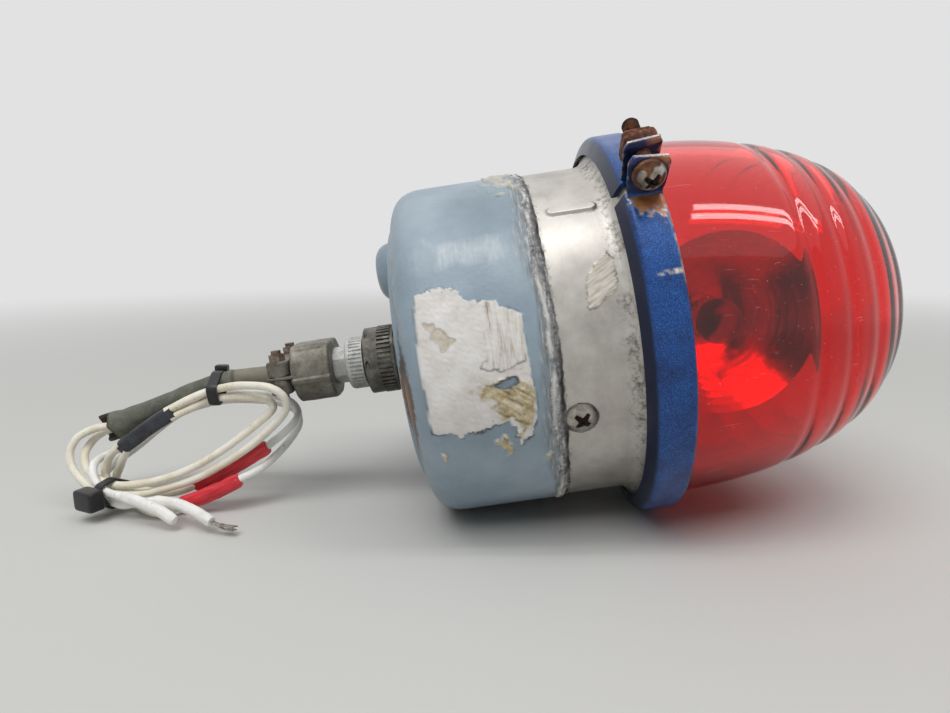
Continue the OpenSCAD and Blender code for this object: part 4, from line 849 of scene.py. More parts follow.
def bareAluminium():
    # bare aluminium sleeve, dull and handled: fine turned lines round it, grey oxide, black grime by the lip,
    # and painted shade in specks along the rib's lower edge and round the screw heads
    mat, sockets = newFinish("dullBareAluminium")
    place = addNode(mat, "TexCoord", out="Object")
    wrap = addNode(mat, "UVMap", uv_map="wrap")
    mark = {key: addNode(mat, "Attribute", attribute_name=key, out="Fac")
            for key in ("grime", "residue", "tornEdge")}
    cloud = addNode(mat, "TexNoise",
                    {"Vector": place, "Scale": perMm(10.0), "Detail": 7.0, "Roughness": 0.65})
    speck = addNode(mat, "TexNoise", {"Vector": place, "Scale": perMm(1.6), "Detail": 6.0, "Roughness": 0.7})
    lathe = addNode(mat, "Mapping", {"Vector": wrap, "Scale": (perMm(14.0), perMm(0.5), 1.0)})
    lines = addNode(mat, "TexNoise", {"Vector": lathe, "Scale": 1.0, "Detail": 3.0})
    metal = addNode(mat, "ValToRGB", {"Fac": cloud},
                    stops=[(0.3, "#a8a39d"), (0.5, "#bab6b0"), (0.7, "#cac7c1")])
    # grime mark times specks: dirt, with painted shade under the rib and round the screws
    grimeAndShade = addNode(mat, "Math", {0: mark["grime"], 1: speck}, operation="MULTIPLY")
    grimeAndShadeTone = addNode(mat, "ValToRGB", {"Fac": grimeAndShade}, stops=[(0.36, 0.0), (0.56, 0.8)])
    dirty = addNode(mat, "MixRGB", {"Fac": grimeAndShadeTone, "Color1": metal, "Color2": "#4a443d"})
    slant = addNode(mat, "Mapping", {"Vector": wrap, "Rotation": (0.0, 0.0, -0.5)})
    torn = addNode(mat, "Mapping", {"Vector": slant, "Scale": (perMm(0.8), perMm(7.0), 1.0)})
    grain = addNode(mat, "TexNoise", {"Vector": torn, "Scale": 1.0, "Detail": 6.0, "Roughness": 0.6})
    scrap = addNode(mat, "ValToRGB", {"Fac": grain},
                    stops=[(0.26, "#75644f"), (0.38, "#bdb3a3"), (0.52, "#d9d3c9"), (0.7, "#e6e3dd")])
    patched = addNode(mat, "MixRGB", {"Fac": mark["residue"], "Color1": dirty, "Color2": scrap})
    edged = addNode(mat, "MixRGB", {"Fac": mark["tornEdge"], "Color1": patched, "Color2": "#3b2d20"})
    bare = addNode(mat, "MapRange", {"Value": mark["residue"], "To Min": 0.9, "To Max": 0.0})
    rough = addNode(mat, "MapRange", {"Value": cloud, "From Min": 0.3, "From Max": 0.7, "To Min": 0.34,
                                      "To Max": 0.5})
    rougher = addNode(mat, "Math", {0: rough, 1: mark["residue"]}, operation="MAXIMUM")
    relief = addNode(mat, "MixRGB", {"Fac": mark["residue"], "Color1": lines, "Color2": grain})
    bump = addNode(mat, "Bump", {"Height": relief, "Strength": 0.16, "Distance": 0.0004})
    feed(mat, sockets, base=edged, roughness=rougher, metallic=bare, normal=bump)
    return mat


def makeBarrel():
    # spun sleeve with a rounded flare; rib and scrap stand out by smooth steps of the distance to their edges
    b = barrel
    half, wall = b["radius"], b["wall"]
    outer = softLine([(b["from"], half)] + b["lip"], [b["flare"], 0.4], 0.42)
    inner = np.array([(b["lip"][-1][0], half - wall), (b["from"] + wall, half - wall)] + b["spigot"]
                     + [(b["from"], half)])
    turns = closeTurns(b["columns"])
    along, radius = outer[:, :1], outer[:, 1:]
    spot = around(along, radius, turns) * 1000
    rib = b["rib"]
    arc = np.radians(turns - rib["turn"]) * half
    reach = np.hypot(arc, along - np.clip(along, rib["from"] + rib["half"], rib["to"] - rib["half"]))
    raised = ease(rib["half"] - reach, -0.35, 0.55)
    ragged = 0.35 * lumps(spot, 4.0, 61) + 0.2 * lumps(spot, 1.5, 62)
    residueBy = insideBy(turns, along, b["residue"], half) + ragged
    residue = ease(residueBy, -0.1, 0.25)
    tornEdge = hump(residueBy + 0.05, 0.2) * np.clip(0.45 + 0.6 * lumps(spot, 4.5, 63), 0, 0.9)
    grime = 0.5 + 0.27 * ease(along, *b["grime"]) * (1 + 0.5 * lumps(spot, 12.0, 65))
    # painted shade: a dark strip along the rib's lower edge
    grime = grime + 0.28 * hump(reach - rib["half"] - 0.4, 0.45) * ease(arc, -1.0, 1.5)
    # painted shade: a dark ring round each screw head
    for turn in b["screws"]:
        gap = np.hypot(np.radians(turns - turn) * half, along - b["screwAt"])
        grime = grime + 0.6 * hump(gap - screws["barrel"]["head"], 0.3)
    grime = grime + 0.35 * ease(-along, -44.5, -42.5)
    standing = rib["height"] * raised + residue * (0.16 + 0.06 * lumps(spot, 2.4, 64))
    shell = around(along, radius + standing, turns)
    lengths = joined(np.radians(turns) * half, lengthAlong(outer)[:, None]) / 1000
    lining = np.concatenate([shell[-1:], around(inner[:, :1], inner[:, 1:], turns)])
    marks = {"residue": residue, "tornEdge": tornEdge, "grime": grime}
    sheets = [{"grid": shell, "map": lengths, "marks": marks}, {"grid": lining}]
    return makePiece("barrelShell", sheets, "housing", bareAluminium(), ["barrel"])


# clamp band: section corners as (mm along, radius), split place and lugs
band = {"section": [(63.1, 57.0), (65.5, 62.0), (75.0, 62.0), (75.9, 58.6), (74.555, 58.6), (74.0, 60.7),
                    (66.318, 60.7), (64.542, 57.0), (63.1, 57.0)],
        "corners": [1.3, 1.0, 0.35, 0.35, 0.6, 0.6, 0.35],
        "radius": 62.0, "split": 46.0, "gap": 4.0, "columns": 620, "rimAt": 75.2, "wornRim": (51, 55, 71, 76),
        "lug": {"thick": 0.75, "outside": 1.6, "middle": 70.25, "wide": (9.5, 10.6), "top": 74.0, "bend": 1.7,
                "foot": (5.2, 60.9), "bendAt": 61.2, "cut": (1.8, 2.2), "skew": 0.13},
        "primer": [(46.5, 66.6), (46.5, 75.6), (51.5, 75.4), (56.2, 73.4), (54.6, 70.6), (54.8, 68),
                   (51, 66.4)],
        "scratch": [(70.5, 68.0), (70.3, 72.5), (69.7, 75.3), (71.4, 75.3), (70.9, 72.5), (70.8, 68.0)],
        "nick": [(61.5, 73.5), (61.5, 76), (63.2, 76), (63.2, 73.5)]}


def chippedBlue():
    # royal blue metallic enamel on pressed steel: flake speckle, dirt, dark navy lugs for painted shade with
    # grime, chips to tan primer and bright metal
    mat, sockets = newFinish("chippedRoyalBlueEnamel", metallic=0.3, specular=0.4, coat=0.3,
                             coatRoughness=0.16)
    place = addNode(mat, "TexCoord", out="Object")
    mark = {key: addNode(mat, "Attribute", attribute_name=key, out="Fac") for key in ("leg", "chip", "bare")}
    # the flake is drawn at a third of a millimetre, coarser than real flake, so that it shows
    flake = addNode(mat, "TexNoise", {"Vector": place, "Scale": perMm(0.35), "Detail": 2.0})
    cloud = addNode(mat, "TexNoise", {"Vector": place, "Scale": perMm(9.0), "Detail": 6.0, "Roughness": 0.65})
    speck = addNode(mat, "TexNoise", {"Vector": place, "Scale": perMm(1.3), "Detail": 6.0, "Roughness": 0.7})
    blue = addNode(mat, "ValToRGB", {"Fac": flake},
                   stops=[(0.3, "#082e66"), (0.5, "#0b4288"), (0.75, "#206cba")])
    shade = addNode(mat, "ValToRGB", {"Fac": cloud}, stops=[(0.3, "#8a8fa0"), (0.55, "#ffffff")])
    toned = addNode(mat, "MixRGB", {"Fac": 1.0, "Color1": blue, "Color2": shade}, blend_type="MULTIPLY")
    # the lugs and the band's rear leg go dark navy: on the lugs painted shade with grime
    legDark = addNode(mat, "MixRGB", {"Fac": mark["leg"], "Color1": toned, "Color2": "#101c3a"})
    primer = addNode(mat, "ValToRGB", {"Fac": cloud},
                     stops=[(0.3, "#8a5030"), (0.5, "#c07d4c"), (0.66, "#d8aa80")])
    chipped = addNode(mat, "MixRGB", {"Fac": mark["chip"], "Color1": legDark, "Color2": primer})
    metal = addNode(mat, "ValToRGB", {"Fac": speck},
                    stops=[(0.3, "#6c5138"), (0.45, "#b3aca2"), (0.6, "#dedcd8")])
    bared = addNode(mat, "MixRGB", {"Fac": mark["bare"], "Color1": chipped, "Color2": metal})
    rough = addNode(mat, "MapRange", {"Value": cloud, "To Min": 0.5, "To Max": 0.26})
    bump = addNode(mat, "Bump", {"Height": speck, "Strength": 0.1, "Distance": 0.0004})
    feed(mat, sockets, base=bared, roughness=rough, normal=bump)
    return mat


def makeBand():
    # the rounded section carried round from one side of the split to the other, with two bent lugs
    section = softLine(band["section"], band["corners"], 0.5)
    half = math.degrees(band["gap"] / 2 / band["radius"])
    turns = np.linspace(band["split"] + half - 360, band["split"] - half, band["columns"])[None, :]
    turns = turns + np.zeros((len(section), 1))
    along, radius = section[:, :1], section[:, 1:]
    spot = around(along, radius, turns) * 1000
    facing = np.where(turns < -90, turns + 360, turns)
    ragged = 0.9 * lumps(spot, 3.4, 71) + 0.6 * lumps(spot, 1.3, 72)
    chipBy = insideBy(facing, along, band["primer"], band["radius"]) + ragged
    outside = ease(radius, 61.0, 61.6)
    chip = ease(chipBy, -0.1, 0.25) * outside
    bare = hump(chipBy + 0.15, 0.28) * outside * 0.9
    rim = hump(along - band["rimAt"], 0.45) * ease(radius, 60.2, 61.0)
    patchy = np.clip(0.5 + 0.9 * lumps(spot, 5.0, 73), 0, 1)
    first, full, fading, last = band["wornRim"]
    bare += rim * ease(facing, first, full) * ease(-facing, -last, -fading) * patchy
    bare += rim * 0.6 * ease(lumps(spot, 14.0, 74), 0.75, 1.0)
    scratchBy = insideBy(facing, along, band["scratch"], band["radius"]) + 0.1 * ragged
    bare += ease(scratchBy, -0.12, 0.1) * outside
    bare += rim * ease(insideBy(facing, along, band["nick"], band["radius"]), -0.2, 0.3)
    # the band's rear leg, against the barrel, is darker all over
    leg = ease(-along, -65.6, -64.6) + 0 * turns
    hoop = around(along, radius - 0.08 * chip, turns)
    caps = [np.broadcast_to(hoop[:, i].mean(0), hoop[:, i].shape)[:, None] for i in (0, -1)]
    hoop = np.concatenate([caps[0], hoop, caps[1]], 1)
    marks = {key: np.pad(np.clip(value, 0, 1), ((0, 0), (1, 1)), mode="edge")
             for key, value in {"chip": chip, "bare": bare, "leg": leg}.items()}
    sheets = [{"grid": hoop, "marks": marks}]
    lug = band["lug"]
    cut, over = lug["cut"]
    out = wayOut(band["split"])
    aside = np.array([-out[1], out[0], 0])
    corner = np.linspace(0, 2 * np.pi, 33)
    for hand in (-1, 1):
        middle = band["gap"] / 2 + lug["outside"] - lug["thick"] / 2
        line = softLine([lug["foot"], (middle, lug["bendAt"]), (middle, lug["top"])], [lug["bend"]], 0.35)
        path = line[:, 1:] * out + hand * line[:, :1] * aside + np.array([0, 0, lug["middle"]])
        wide = np.interp(line[:, 1], [band["radius"], lug["top"]], lug["wide"])
        wide = wide - cut * ease(line[:, 1], lug["top"] - over, lug["top"])
        strip = joined(squared(np.cos(corner), 0.22) * wide[:, None] / 2,
                       squared(np.sin(corner), 0.45) * lug["thick"] / 2)
        grid, uv = carried(path, strip, first=(0, 0, 1))
        height = np.concatenate([line[:1, 1], line[:, 1], line[-1:, 1]])[:, None]
        lean = lug["skew"] * ease(height, 62.5, 66.0) * (grid[..., 2] - lug["middle"])
        grid = grid + hand * lean[..., None] * aside
        wear = lumps(grid, 2.4, 76 + hand)
        top = ease(height + 0.4 * wear, lug["top"] - 0.6, lug["top"] - 0.15)
        side = np.abs(np.cos(corner))[None, :] ** 6
        bareTop = np.clip(0.75 * top * ease(wear, -0.6, 0.2) + side * ease(wear, 0.3, 0.6) * 0.7, 0, 1)
        toLens = ease(grid[..., 2] + wear, lug["middle"] + 1.5, lug["middle"] + 3.5)
        rust = ease(height + 1.4 * wear, 70.4, 72.4) * (0.1 + 0.9 * toLens)
        # painted shade with grime: the lug is dark between these heights, below its worn top
        grimeAndShade = 0.85 * ease(height + wear, 61.8, 63.5) * ease(-height - wear, -73.0, -70.5)
        sheets.append({"grid": laid(grid), "map": uv, "marks": {"bare": bareTop, "chip": rust, "leg": grimeAndShade}})
    return makePiece("clampBand", sheets, "housing", chippedBlue(), ["clamp_band"], sharp=50)


# lens: outline constants as in the part's source
lens = {"radius": 58.0, "from": 74.564, "length": 76.5, "fullness": 0.283, "thick": 4.0, "columns": 288,
        "rings": 4, "ringDepth": 0.6, "ringSpan": (0.41, 0.92), "bore": 52.8,
        "flange": [(69.7, 52.8), (69.7, 60.3), (73.955, 60.3)]}


def redGlass():
    # pressed red glass, clear and glossy: dull wiped places, pale scratches along the dome, specks of dust
    mat, sockets = newFinish("pressedRedGlass", ior=1.5, specular=0.5)
    place = addNode(mat, "TexCoord", out="Object")
    wiped = addNode(mat, "TexNoise", {"Vector": place, "Scale": perMm(16.0), "Detail": 8.0, "Roughness": 0.7})
    rough = addNode(mat, "MapRange", {"Value": wiped, "From Min": 0.45, "From Max": 0.8, "To Min": 0.02,
                                      "To Max": 0.12})
    lean = addNode(mat, "Mapping", {"Vector": place, "Rotation": (0.0, 0.12, 0.0)})
    drawn = addNode(mat, "Mapping", {"Vector": lean, "Scale": (perMm(17.0), perMm(0.7), perMm(0.7))})
    hair = addNode(mat, "TexNoise", {"Vector": drawn, "Scale": 1.0, "Detail": 1.0})
    scratch = addNode(mat, "MapRange", {"Value": hair, "From Min": 0.71, "From Max": 0.77, "To Max": 0.4})
    fine = addNode(mat, "TexNoise", {"Vector": place, "Scale": perMm(0.55), "Detail": 0.0})
    speck = addNode(mat, "MapRange", {"Value": fine, "From Min": 0.8, "From Max": 0.86, "To Max": 0.5})
    dirt = addNode(mat, "Math", {0: scratch, 1: speck}, operation="MAXIMUM")
    base = addNode(mat, "MixRGB", {"Fac": dirt, "Color1": "#f01815", "Color2": "#d8c0ba"})
    clear = addNode(mat, "MapRange", {"Value": dirt, "To Min": 1.0, "To Max": 0.0})
    feed(mat, sockets, base=base, roughness=rough, transmission=clear)
    return mat


def makeLens():
    # outer and inner outline turned round the axis, the outer one from the flange on
    def outline(cut, count):
        # radius falls as a power of one minus the squared share of the length; cubed raised cosines cut rings
        t = 1 - (1 - np.linspace(0, 1, count)) ** 2.2
        u = np.sin(np.pi / 2 * t)
        first, last = lens["ringSpan"]
        wave = ((1 - np.cos(2 * np.pi * lens["rings"] * (u - first) / (last - first))) / 2) ** 3
        ring = np.where((u < first) | (u > last) | (cut > 0), 0.0, lens["ringDepth"] * wave)
        radius = (lens["radius"] - cut) * np.maximum(0, 1 - u * u) ** lens["fullness"] - ring
        radius[-1] = 0.0
        return np.stack([lens["from"] + (lens["length"] - cut) * u, radius], -1)
    turns = np.linspace(-90, 270, lens["columns"] + 1)[None, :]
    outer = np.vstack([lens["flange"], outline(0.0, 230)])
    rear = [(lens["from"] - 2, lens["bore"]), lens["flange"][0]]
    inner = np.vstack([outline(lens["thick"], 80)[::-1], rear])
    sheets = [{"grid": around(line[:, :1], line[:, 1:], turns)} for line in (outer, inner)]
    return makePiece("lensDome", sheets, "housing", redGlass(), ["lens"], sharp=40)


# screws: shank radius and length, head radius and height, the thread's pitch and depth where it shows, the
# head's rust, and the way of its cross as two shares
screws = {"barrel": {"shank": 2.1, "reach": 8.0, "head": 4.6, "rise": 2.1, "pitch": 0.8, "depth": 0.0,
                     "rust": 0.2, "cross": (0.74, 0.6726)},
          "clamp": {"shank": 2.1, "reach": 20.4, "head": 4.3, "rise": 3.4, "pitch": 0.794, "depth": 0.45,
                    "rust": 0.62, "cross": (0.8, 0.6)},
          "clampAt": {"radius": 69.2, "along": 70.25, "seat": 4.8},
          "nut": {"size": (8.8, 5.2, 9.0), "middle": -6.2}}


def wornScrew(name, dark, mid, pale):
    # plated steel that rusts from its edges in: grey where handled, brown on the thread, dark brown in the
    # recess as rust with painted shade, and a painted shadow ring at the dome's edge
    mat, sockets = newFinish(name, metallic=0.75)
    place = addNode(mat, "TexCoord", out="Object")
    mark = {key: addNode(mat, "Attribute", attribute_name=key, out="Fac") for key in ("rust", "sunk")}
    cloud = addNode(mat, "TexNoise", {"Vector": place, "Scale": perMm(2.4), "Detail": 7.0, "Roughness": 0.68})
    plate = addNode(mat, "ValToRGB", {"Fac": cloud}, stops=[(0.3, dark), (0.5, mid), (0.7, pale)])
    rust = addNode(mat, "ValToRGB", {"Fac": cloud},
                   stops=[(0.3, "#26150e"), (0.5, "#4e2e1e"), (0.68, "#86583a")])
    rusting = addNode(mat, "Math", {0: mark["rust"], 1: cloud}, operation="MULTIPLY")
    rusted = addNode(mat, "ValToRGB", {"Fac": rusting}, stops=[(0.22, 0.0), (0.4, 1.0)])
    brown = addNode(mat, "MixRGB", {"Fac": rusted, "Color1": plate, "Color2": rust})
    # painted shade: the cross recess and the dome's edge go dark
    sunk = addNode(mat, "MixRGB", {"Fac": mark["sunk"], "Color1": brown, "Color2": "#2a1c14"})
    bright = addNode(mat, "MapRange", {"Value": rusted, "To Min": 0.85, "To Max": 0.1})
    rough = addNode(mat, "MapRange", {"Value": rusted, "To Min": 0.34, "To Max": 0.8})
    bump = addNode(mat, "Bump", {"Height": cloud, "Strength": 0.25, "Distance": 0.0004})
    feed(mat, sockets, base=sunk, roughness=rough, metallic=bright, normal=bump)
    return mat


def screwSheet(form, seat, out, level, beside):
    # shank and dome turned about the way out, a cross sunk in the dome; the thread is a triangle wave
    across = level * form["cross"][0] + beside * form["cross"][1]
    aside = np.cross(out, across)
    bulge = (form["head"] ** 2 + form["rise"] ** 2) / (2 * form["rise"])
    down = np.arange(-form["reach"], 0.0, 0.11)
    wave = np.abs((down / form["pitch"]) % 1 - 0.5) * 2 - 0.5
    shank = form["shank"] + form["depth"] * wave * ease(-down, 6.0, 7.0)
    reach = form["head"] * np.sqrt(np.linspace(1, 0, 54))
    dome = form["rise"] - bulge + np.sqrt(bulge ** 2 - reach ** 2)
    height = np.concatenate([[-form["reach"]], down, [0.0, 0.0], dome])[:, None]
    radius = np.concatenate([[0.0], shank, [form["shank"], form["head"]], reach])[:, None]
    turn = np.linspace(0, 2 * np.pi, 97)[None, :]
    x, y = radius * np.cos(turn), radius * np.sin(turn)
    sunk = 0.0
    for way, off in ((np.abs(x), np.abs(y)), (np.abs(y), np.abs(x))):
        # one arm of the cross, narrower towards its ends
        half = 0.19 * form["head"] - 0.16 * way
        arm = ease(0.6 * form["head"] - way, 0, 0.5) * ease(half - off, -0.2, 0.15)
        sunk = np.maximum(sunk, arm)
    sunk = sunk * (height > 0.05)
    stand = height - 0.5 * form["rise"] * sunk * (0.6 + 0.4 * ease(0.4 * form["head"] - radius, 0, 0.8))
    grid = seat + stand[..., None] * out + x[..., None] * across + y[..., None] * aside
    rim = hump(radius - form["head"], 0.5)
    patchy = 1 + 1.5 * rim + 1.4 * lumps(grid, 3.4, 91) * (form["rust"] > 0.4)
    rust = np.where(height > -0.01, form["rust"] * patchy, 1.3)
    # painted shade: the sunk cross, with rust, and a ring at the dome's edge as a painted contact shadow
    dark = np.clip(sunk + 0.5 * rim * (height > 0), 0, 1)
    return {"grid": laid(grid), "marks": {"sunk": dark, "rust": rust}}


def makeScrews():
    # barrel screws stand outward round it; the clamp screw runs round the lamp, through both lugs and the nut
    axis = np.array([0.0, 0.0, 1.0])
    sheets = []
    for turn in barrel["screws"]:
        out = wayOut(turn)
        seat = out * (barrel["radius"] + 0.05) + axis * barrel["screwAt"]
        sheets.append(screwSheet(screws["barrel"], seat, out, axis, np.cross(axis, out)))
    plated = wornScrew("platedTrussHead", "#6f6a62", "#9a958c", "#bdb9b1")
    makePiece("barrelScrews", sheets, "housing", plated, ["barrel_screws"], sharp=30)
    at, out = screws["clampAt"], wayOut(band["split"])
    aside = np.array([-out[1], out[0], 0.0])
    middle = out * at["radius"] + axis * at["along"]
    clampSheet = screwSheet(screws["clamp"], middle + aside * at["seat"], aside, out, axis)
    rusty = wornScrew("rustyPanHead", "#5a524a", "#8f8880", "#c6c3bd")
    makePiece("clampScrew", [clampSheet], "clamp_screw", rusty, ["clamp_screw"], sharp=40)
    nut = screws["nut"]
    block = cushion(nut["size"], 40, 0.38)
    block = block * (1 + 0.03 * lumps(block, 4.0, 81) + 0.03 * lumps(block, 1.6, 82))[..., None]
    x, y, z = np.split(block, 3, -1)
    block = middle + x * out + (y + nut["middle"]) * aside + z * axis
    flaking = wornMetal("flakingRustedSteel", "#26120b", "#5c3120", "#a0633c", 0.2, 0.75, 1.8, "#1c0f0a", 0.8)
    makePiece("clampNut", [{"grid": laid(block)}], "housing", flaking, ["clamp_nut"], sharp=60)


def wornMetal(name, dark, mid, pale, metallic, rough, mottle, grime="#2b2620", grimeAmount=0.6, under=None):
    # worn metal: mottled plating or oxide, dirt in specks and, between two heights in mm, darker towards the
    # underside: painted shade with soot
    mat, sockets = newFinish(name, metallic=metallic)
    place = addNode(mat, "TexCoord", out="Object")
    cloud = addNode(mat, "TexNoise",
                    {"Vector": place, "Scale": perMm(mottle), "Detail": 7.0, "Roughness": 0.66})
    speck = addNode(mat, "TexNoise", {"Vector": place, "Scale": perMm(mottle / 5), "Detail": 5.0})
    tone = addNode(mat, "ValToRGB", {"Fac": cloud}, stops=[(0.32, dark), (0.5, mid), (0.68, pale)])
    spot = addNode(mat, "ValToRGB", {"Fac": speck}, stops=[(0.56, 0.0), (0.7, grimeAmount)])
    colour = addNode(mat, "MixRGB", {"Fac": spot, "Color1": tone, "Color2": grime})
    if under:
        # painted shade with soot: darker below the higher of the two heights, most at the lower
        high = addNode(mat, "SeparateXYZ", {"Vector": place}, out="Z")
        low = addNode(mat, "MapRange", {"Value": high, "From Min": under[0] / 1000,
                                        "From Max": under[1] / 1000, "To Min": 0.8, "To Max": 0.0})
        colour = addNode(mat, "MixRGB", {"Fac": low, "Color1": colour, "Color2": grime})
    worn = addNode(mat, "MapRange", {"Value": cloud, "To Min": rough + 0.15, "To Max": rough - 0.15})
    bump = addNode(mat, "Bump", {"Height": speck, "Strength": 0.18, "Distance": 0.0004})
    feed(mat, sockets, base=colour, roughness=worn, normal=bump)
    return mat


def plainPlastic(name, dark, pale, rough, grainMm):
    # moulded or laminated insulation: even colour with a fine grain
    mat, sockets = newFinish(name, roughness=rough)
    place = addNode(mat, "TexCoord", out="Object")
    grain = addNode(mat, "TexNoise", {"Vector": place, "Scale": perMm(grainMm), "Detail": 5.0})
    colour = addNode(mat, "ValToRGB", {"Fac": grain}, stops=[(0.35, dark), (0.65, pale)])
    bump = addNode(mat, "Bump", {"Height": grain, "Strength": 0.12, "Distance": 0.0002})
    feed(mat, sockets, base=colour, normal=bump)
    return mat


def clearBulb():
    # blown clear glass of a lamp, faintly smoked
    mat, sockets = newFinish("clearBlownGlass", base="#f3efe4", transmission=1.0, ior=1.45)
    place = addNode(mat, "TexCoord", out="Object")
    haze = addNode(mat, "TexNoise", {"Vector": place, "Scale": perMm(5.0), "Detail": 4.0})
    rough = addNode(mat, "MapRange", {"Value": haze, "To Min": 0.02, "To Max": 0.2})
    feed(mat, sockets, roughness=rough)
    return mat


# rear of the plug: end bell, cable clamp and saddles, in mm along the lamp's axis, minus behind the can
plugRear = {"bell": {"from": -28.1, "collar": -23.5, "to": -17.4, "radius": 8.9, "neck": 6.3, "flats": 5.6,
                     "bore": 3.7, "socket": 6.25, "notches": 40, "depth": 0.5},
            "clamp": {"from": -41.4, "to": -28.1, "radius": 11.0, "top": 9.46, "bottom": 10.34, "bore": 3.5,
                      "edge": 1.1, "ridge": 0.8, "grooveTurn": 42.0},
            "arm": {"size": (1.0, 6.0, 9.0), "aside": 8.2, "middle": -44.9},
            "saddle": {"from": 0.5, "to": 5.7, "half": 11.0, "screw": 8.2, "long": 7.6, "middle": -45.6,
                       "bore": 3.5}}


def makeBell(finish):
    # turned profile; a steep wave of the turn notches the collar, and the neck is cut to six flats
    b = plugRear["bell"]
    start, collar, end = b["from"], b["collar"], b["to"]
    outside = [(start, b["bore"]), (start, b["neck"]), (collar, b["neck"]), (collar, b["radius"]),
               (end, b["radius"])]
    inside = [(end, b["socket"]), (collar + 0.3, b["socket"]), (collar + 0.3, b["bore"]), (start, b["bore"])]
    line = softLine(outside + inside, [0.4, 0.3, 1.3, 0.4, 0.2, 0.2, 0.2], 0.22)
    turn = np.linspace(0, 360, b["notches"] * 10 + 1)[None, :]
    along, radius = line[:, :1], line[:, 1:]
    notch = ease(np.cos(np.radians(turn * b["notches"])), 0.05, 0.5)
    span = ease(along, collar + 1.5, collar + 1.9) * ease(-along, 0.3 - end, 0.6 - end)
    flat = b["flats"] / np.cos(np.radians(turn % 60 - 30))
    notched = radius - b["depth"] * notch * span * (radius > 7.5)
    shape = np.where(along < collar - 0.2, np.minimum(radius, flat), notched)
    sheets = [{"grid": around(along, shape, turn)}]
    return makePiece("endBell", sheets, "plug", finish, ["end_bell"], sharp=40)


def makeClamp(finish):
    # round body whose rim is the softer of its circle and two flats, with a parting ridge, on two flat arms
    c, arm = plugRear["clamp"], plugRear["arm"]
    start, end, bore = c["from"], c["to"], c["bore"]
    line = softLine([(start, bore), (start, c["radius"]), (end, c["radius"]), (end, bore), (start, bore)],
                    [c["edge"], c["edge"], 0.2], 0.45)
    turn = np.linspace(0, 360, 289)[None, :]
    up = np.cos(np.radians(turn))
    flat = np.where(up > 0, c["top"], c["bottom"]) / np.maximum(np.abs(up), 0.1)
    rim = -np.log(np.exp(-3 * c["radius"]) + np.exp(-3 * flat)) / 3
    below = -rim * up
    rim = rim + c["ridge"] * ease(below, 0.6, 1.1) * ease(-below, -3.0, -2.5)
    along, radius = line[:, :1], line[:, 1:]
    groove = hump(turn - c["grooveTurn"], 1.8) * ease(along, start + 1.5, start + 2.5)
    groove = groove * ease(-along, 2.0 - end, 3.0 - end)
    shape = radius + (rim - c["radius"] - 0.4 * groove) * ease(radius, 6.5, 9.0)
    shape = shape + 0.06 * lumps(around(along, shape, turn) * 1000, 5.0, 95) * ease(radius, 6.5, 9.0)
    sheets = [{"grid": around(along, shape, turn)}]
    for hand in (-1, 1):
        sheets.append({"grid": laid(cushion(arm["size"], 12, 0.2) + [0, hand * arm["aside"], arm["middle"]])})
    return makePiece("cableClamp", sheets, "plug", finish, ["cable_clamp"], sharp=50)


def makeSaddles(finish):
    # two bars across the boot, arched over it inside, their edges squared off and their ends rounded
    s = plugRear["saddle"]
    aside = s["half"] * np.sin(np.linspace(-np.pi / 2, np.pi / 2, 61))[:, None]
    inner = np.maximum(s["from"], np.sqrt(np.maximum(0, s["bore"] ** 2 - aside ** 2)))
    past = np.maximum(0, np.abs(aside) - s["screw"]) / (s["half"] - s["screw"])
    corner = np.linspace(0, 2 * np.pi, 41)[None, :]
    out = (s["to"] + inner) / 2 + (s["to"] - inner) / 2 * squared(np.sin(corner), 0.28)
    along = s["middle"] + s["long"] / 2 * np.sqrt(1 - 0.86 * past ** 2) * squared(np.cos(corner), 0.28)
    sheets = []
    for hand in (-1, 1):
        grid = joined(hand * out, aside, along)
        grid = np.concatenate([grid[:1], grid, grid[-1:]])
        grid[0], grid[-1] = grid[0].mean(0), grid[-1].mean(0)
        sheets.append({"grid": laid(grid)})
    return makePiece("saddleBars", sheets, "plug", finish, ["saddles"], sharp=50)


canShell, seamBead, barrelShell = makeCan(), makeBead(), makeBarrel()
clampBand, lensDome = makeBand(), makeLens()
makeScrews()
print("housing pieces made")

# finishes of the plug's rear and of the solids that stay as they are
rustySteel = wornMetal("rustedSteel", "#3a2317", "#7c4f32", "#a8835f", 0.35, 0.7, 3.0, "#2a1a12", 0.7)
screwSteel = wornMetal("platedScrewSteel", "#6e6a63", "#9b978f", "#c3c0b9", 0.9, 0.42, 3.0, "#33291f", 0.75)
brownSteel = wornMetal("brownedScrewSteel", "#43352a", "#776557", "#a0958a", 0.5, 0.6, 2.5, "#30231a", 0.6)
# these three go dark towards the floor: painted shade with soot
oliveNut = wornMetal("greyPlatedAluminium", "#45433d", "#625f58", "#85827a", 0.6, 0.45, 4.0, "#2b2823", 0.6,
                     under=(34, 50))
whiteBell = wornMetal("paleTurnedAluminium", "#a9a9a5", "#c4c5c2", "#d9dad8", 0.3, 0.55, 4.0, "#3b372f", 0.5,
                      under=(36, 50))
castClamp = wornMetal("tanGreyCastAlloy", "#5b584f", "#7d796f", "#9a968b", 0.45, 0.5, 6.0, "#302b22", 0.45,
                      under=(34, 51))
greySheet = wornMetal("rolledAluminiumSheet", "#8e9092", "#a9abac", "#c4c6c6", 0.9, 0.4, 12.0)
gearBrass = wornMetal("cutBrass", "#8a6d33", "#b8964f", "#d2b677", 1.0, 0.34, 6.0)
mirrorSilver = wornMetal("polishedReflectorMetal", "#d2d4d6", "#e1e3e4", "#eceded", 1.0, 0.18, 20.0,
                         "#9a9a98", 0.25)
motorCase = wornMetal("greyMotorCase", "#55595d", "#6b6f73", "#7f8386", 0.5, 0.5, 8.0)
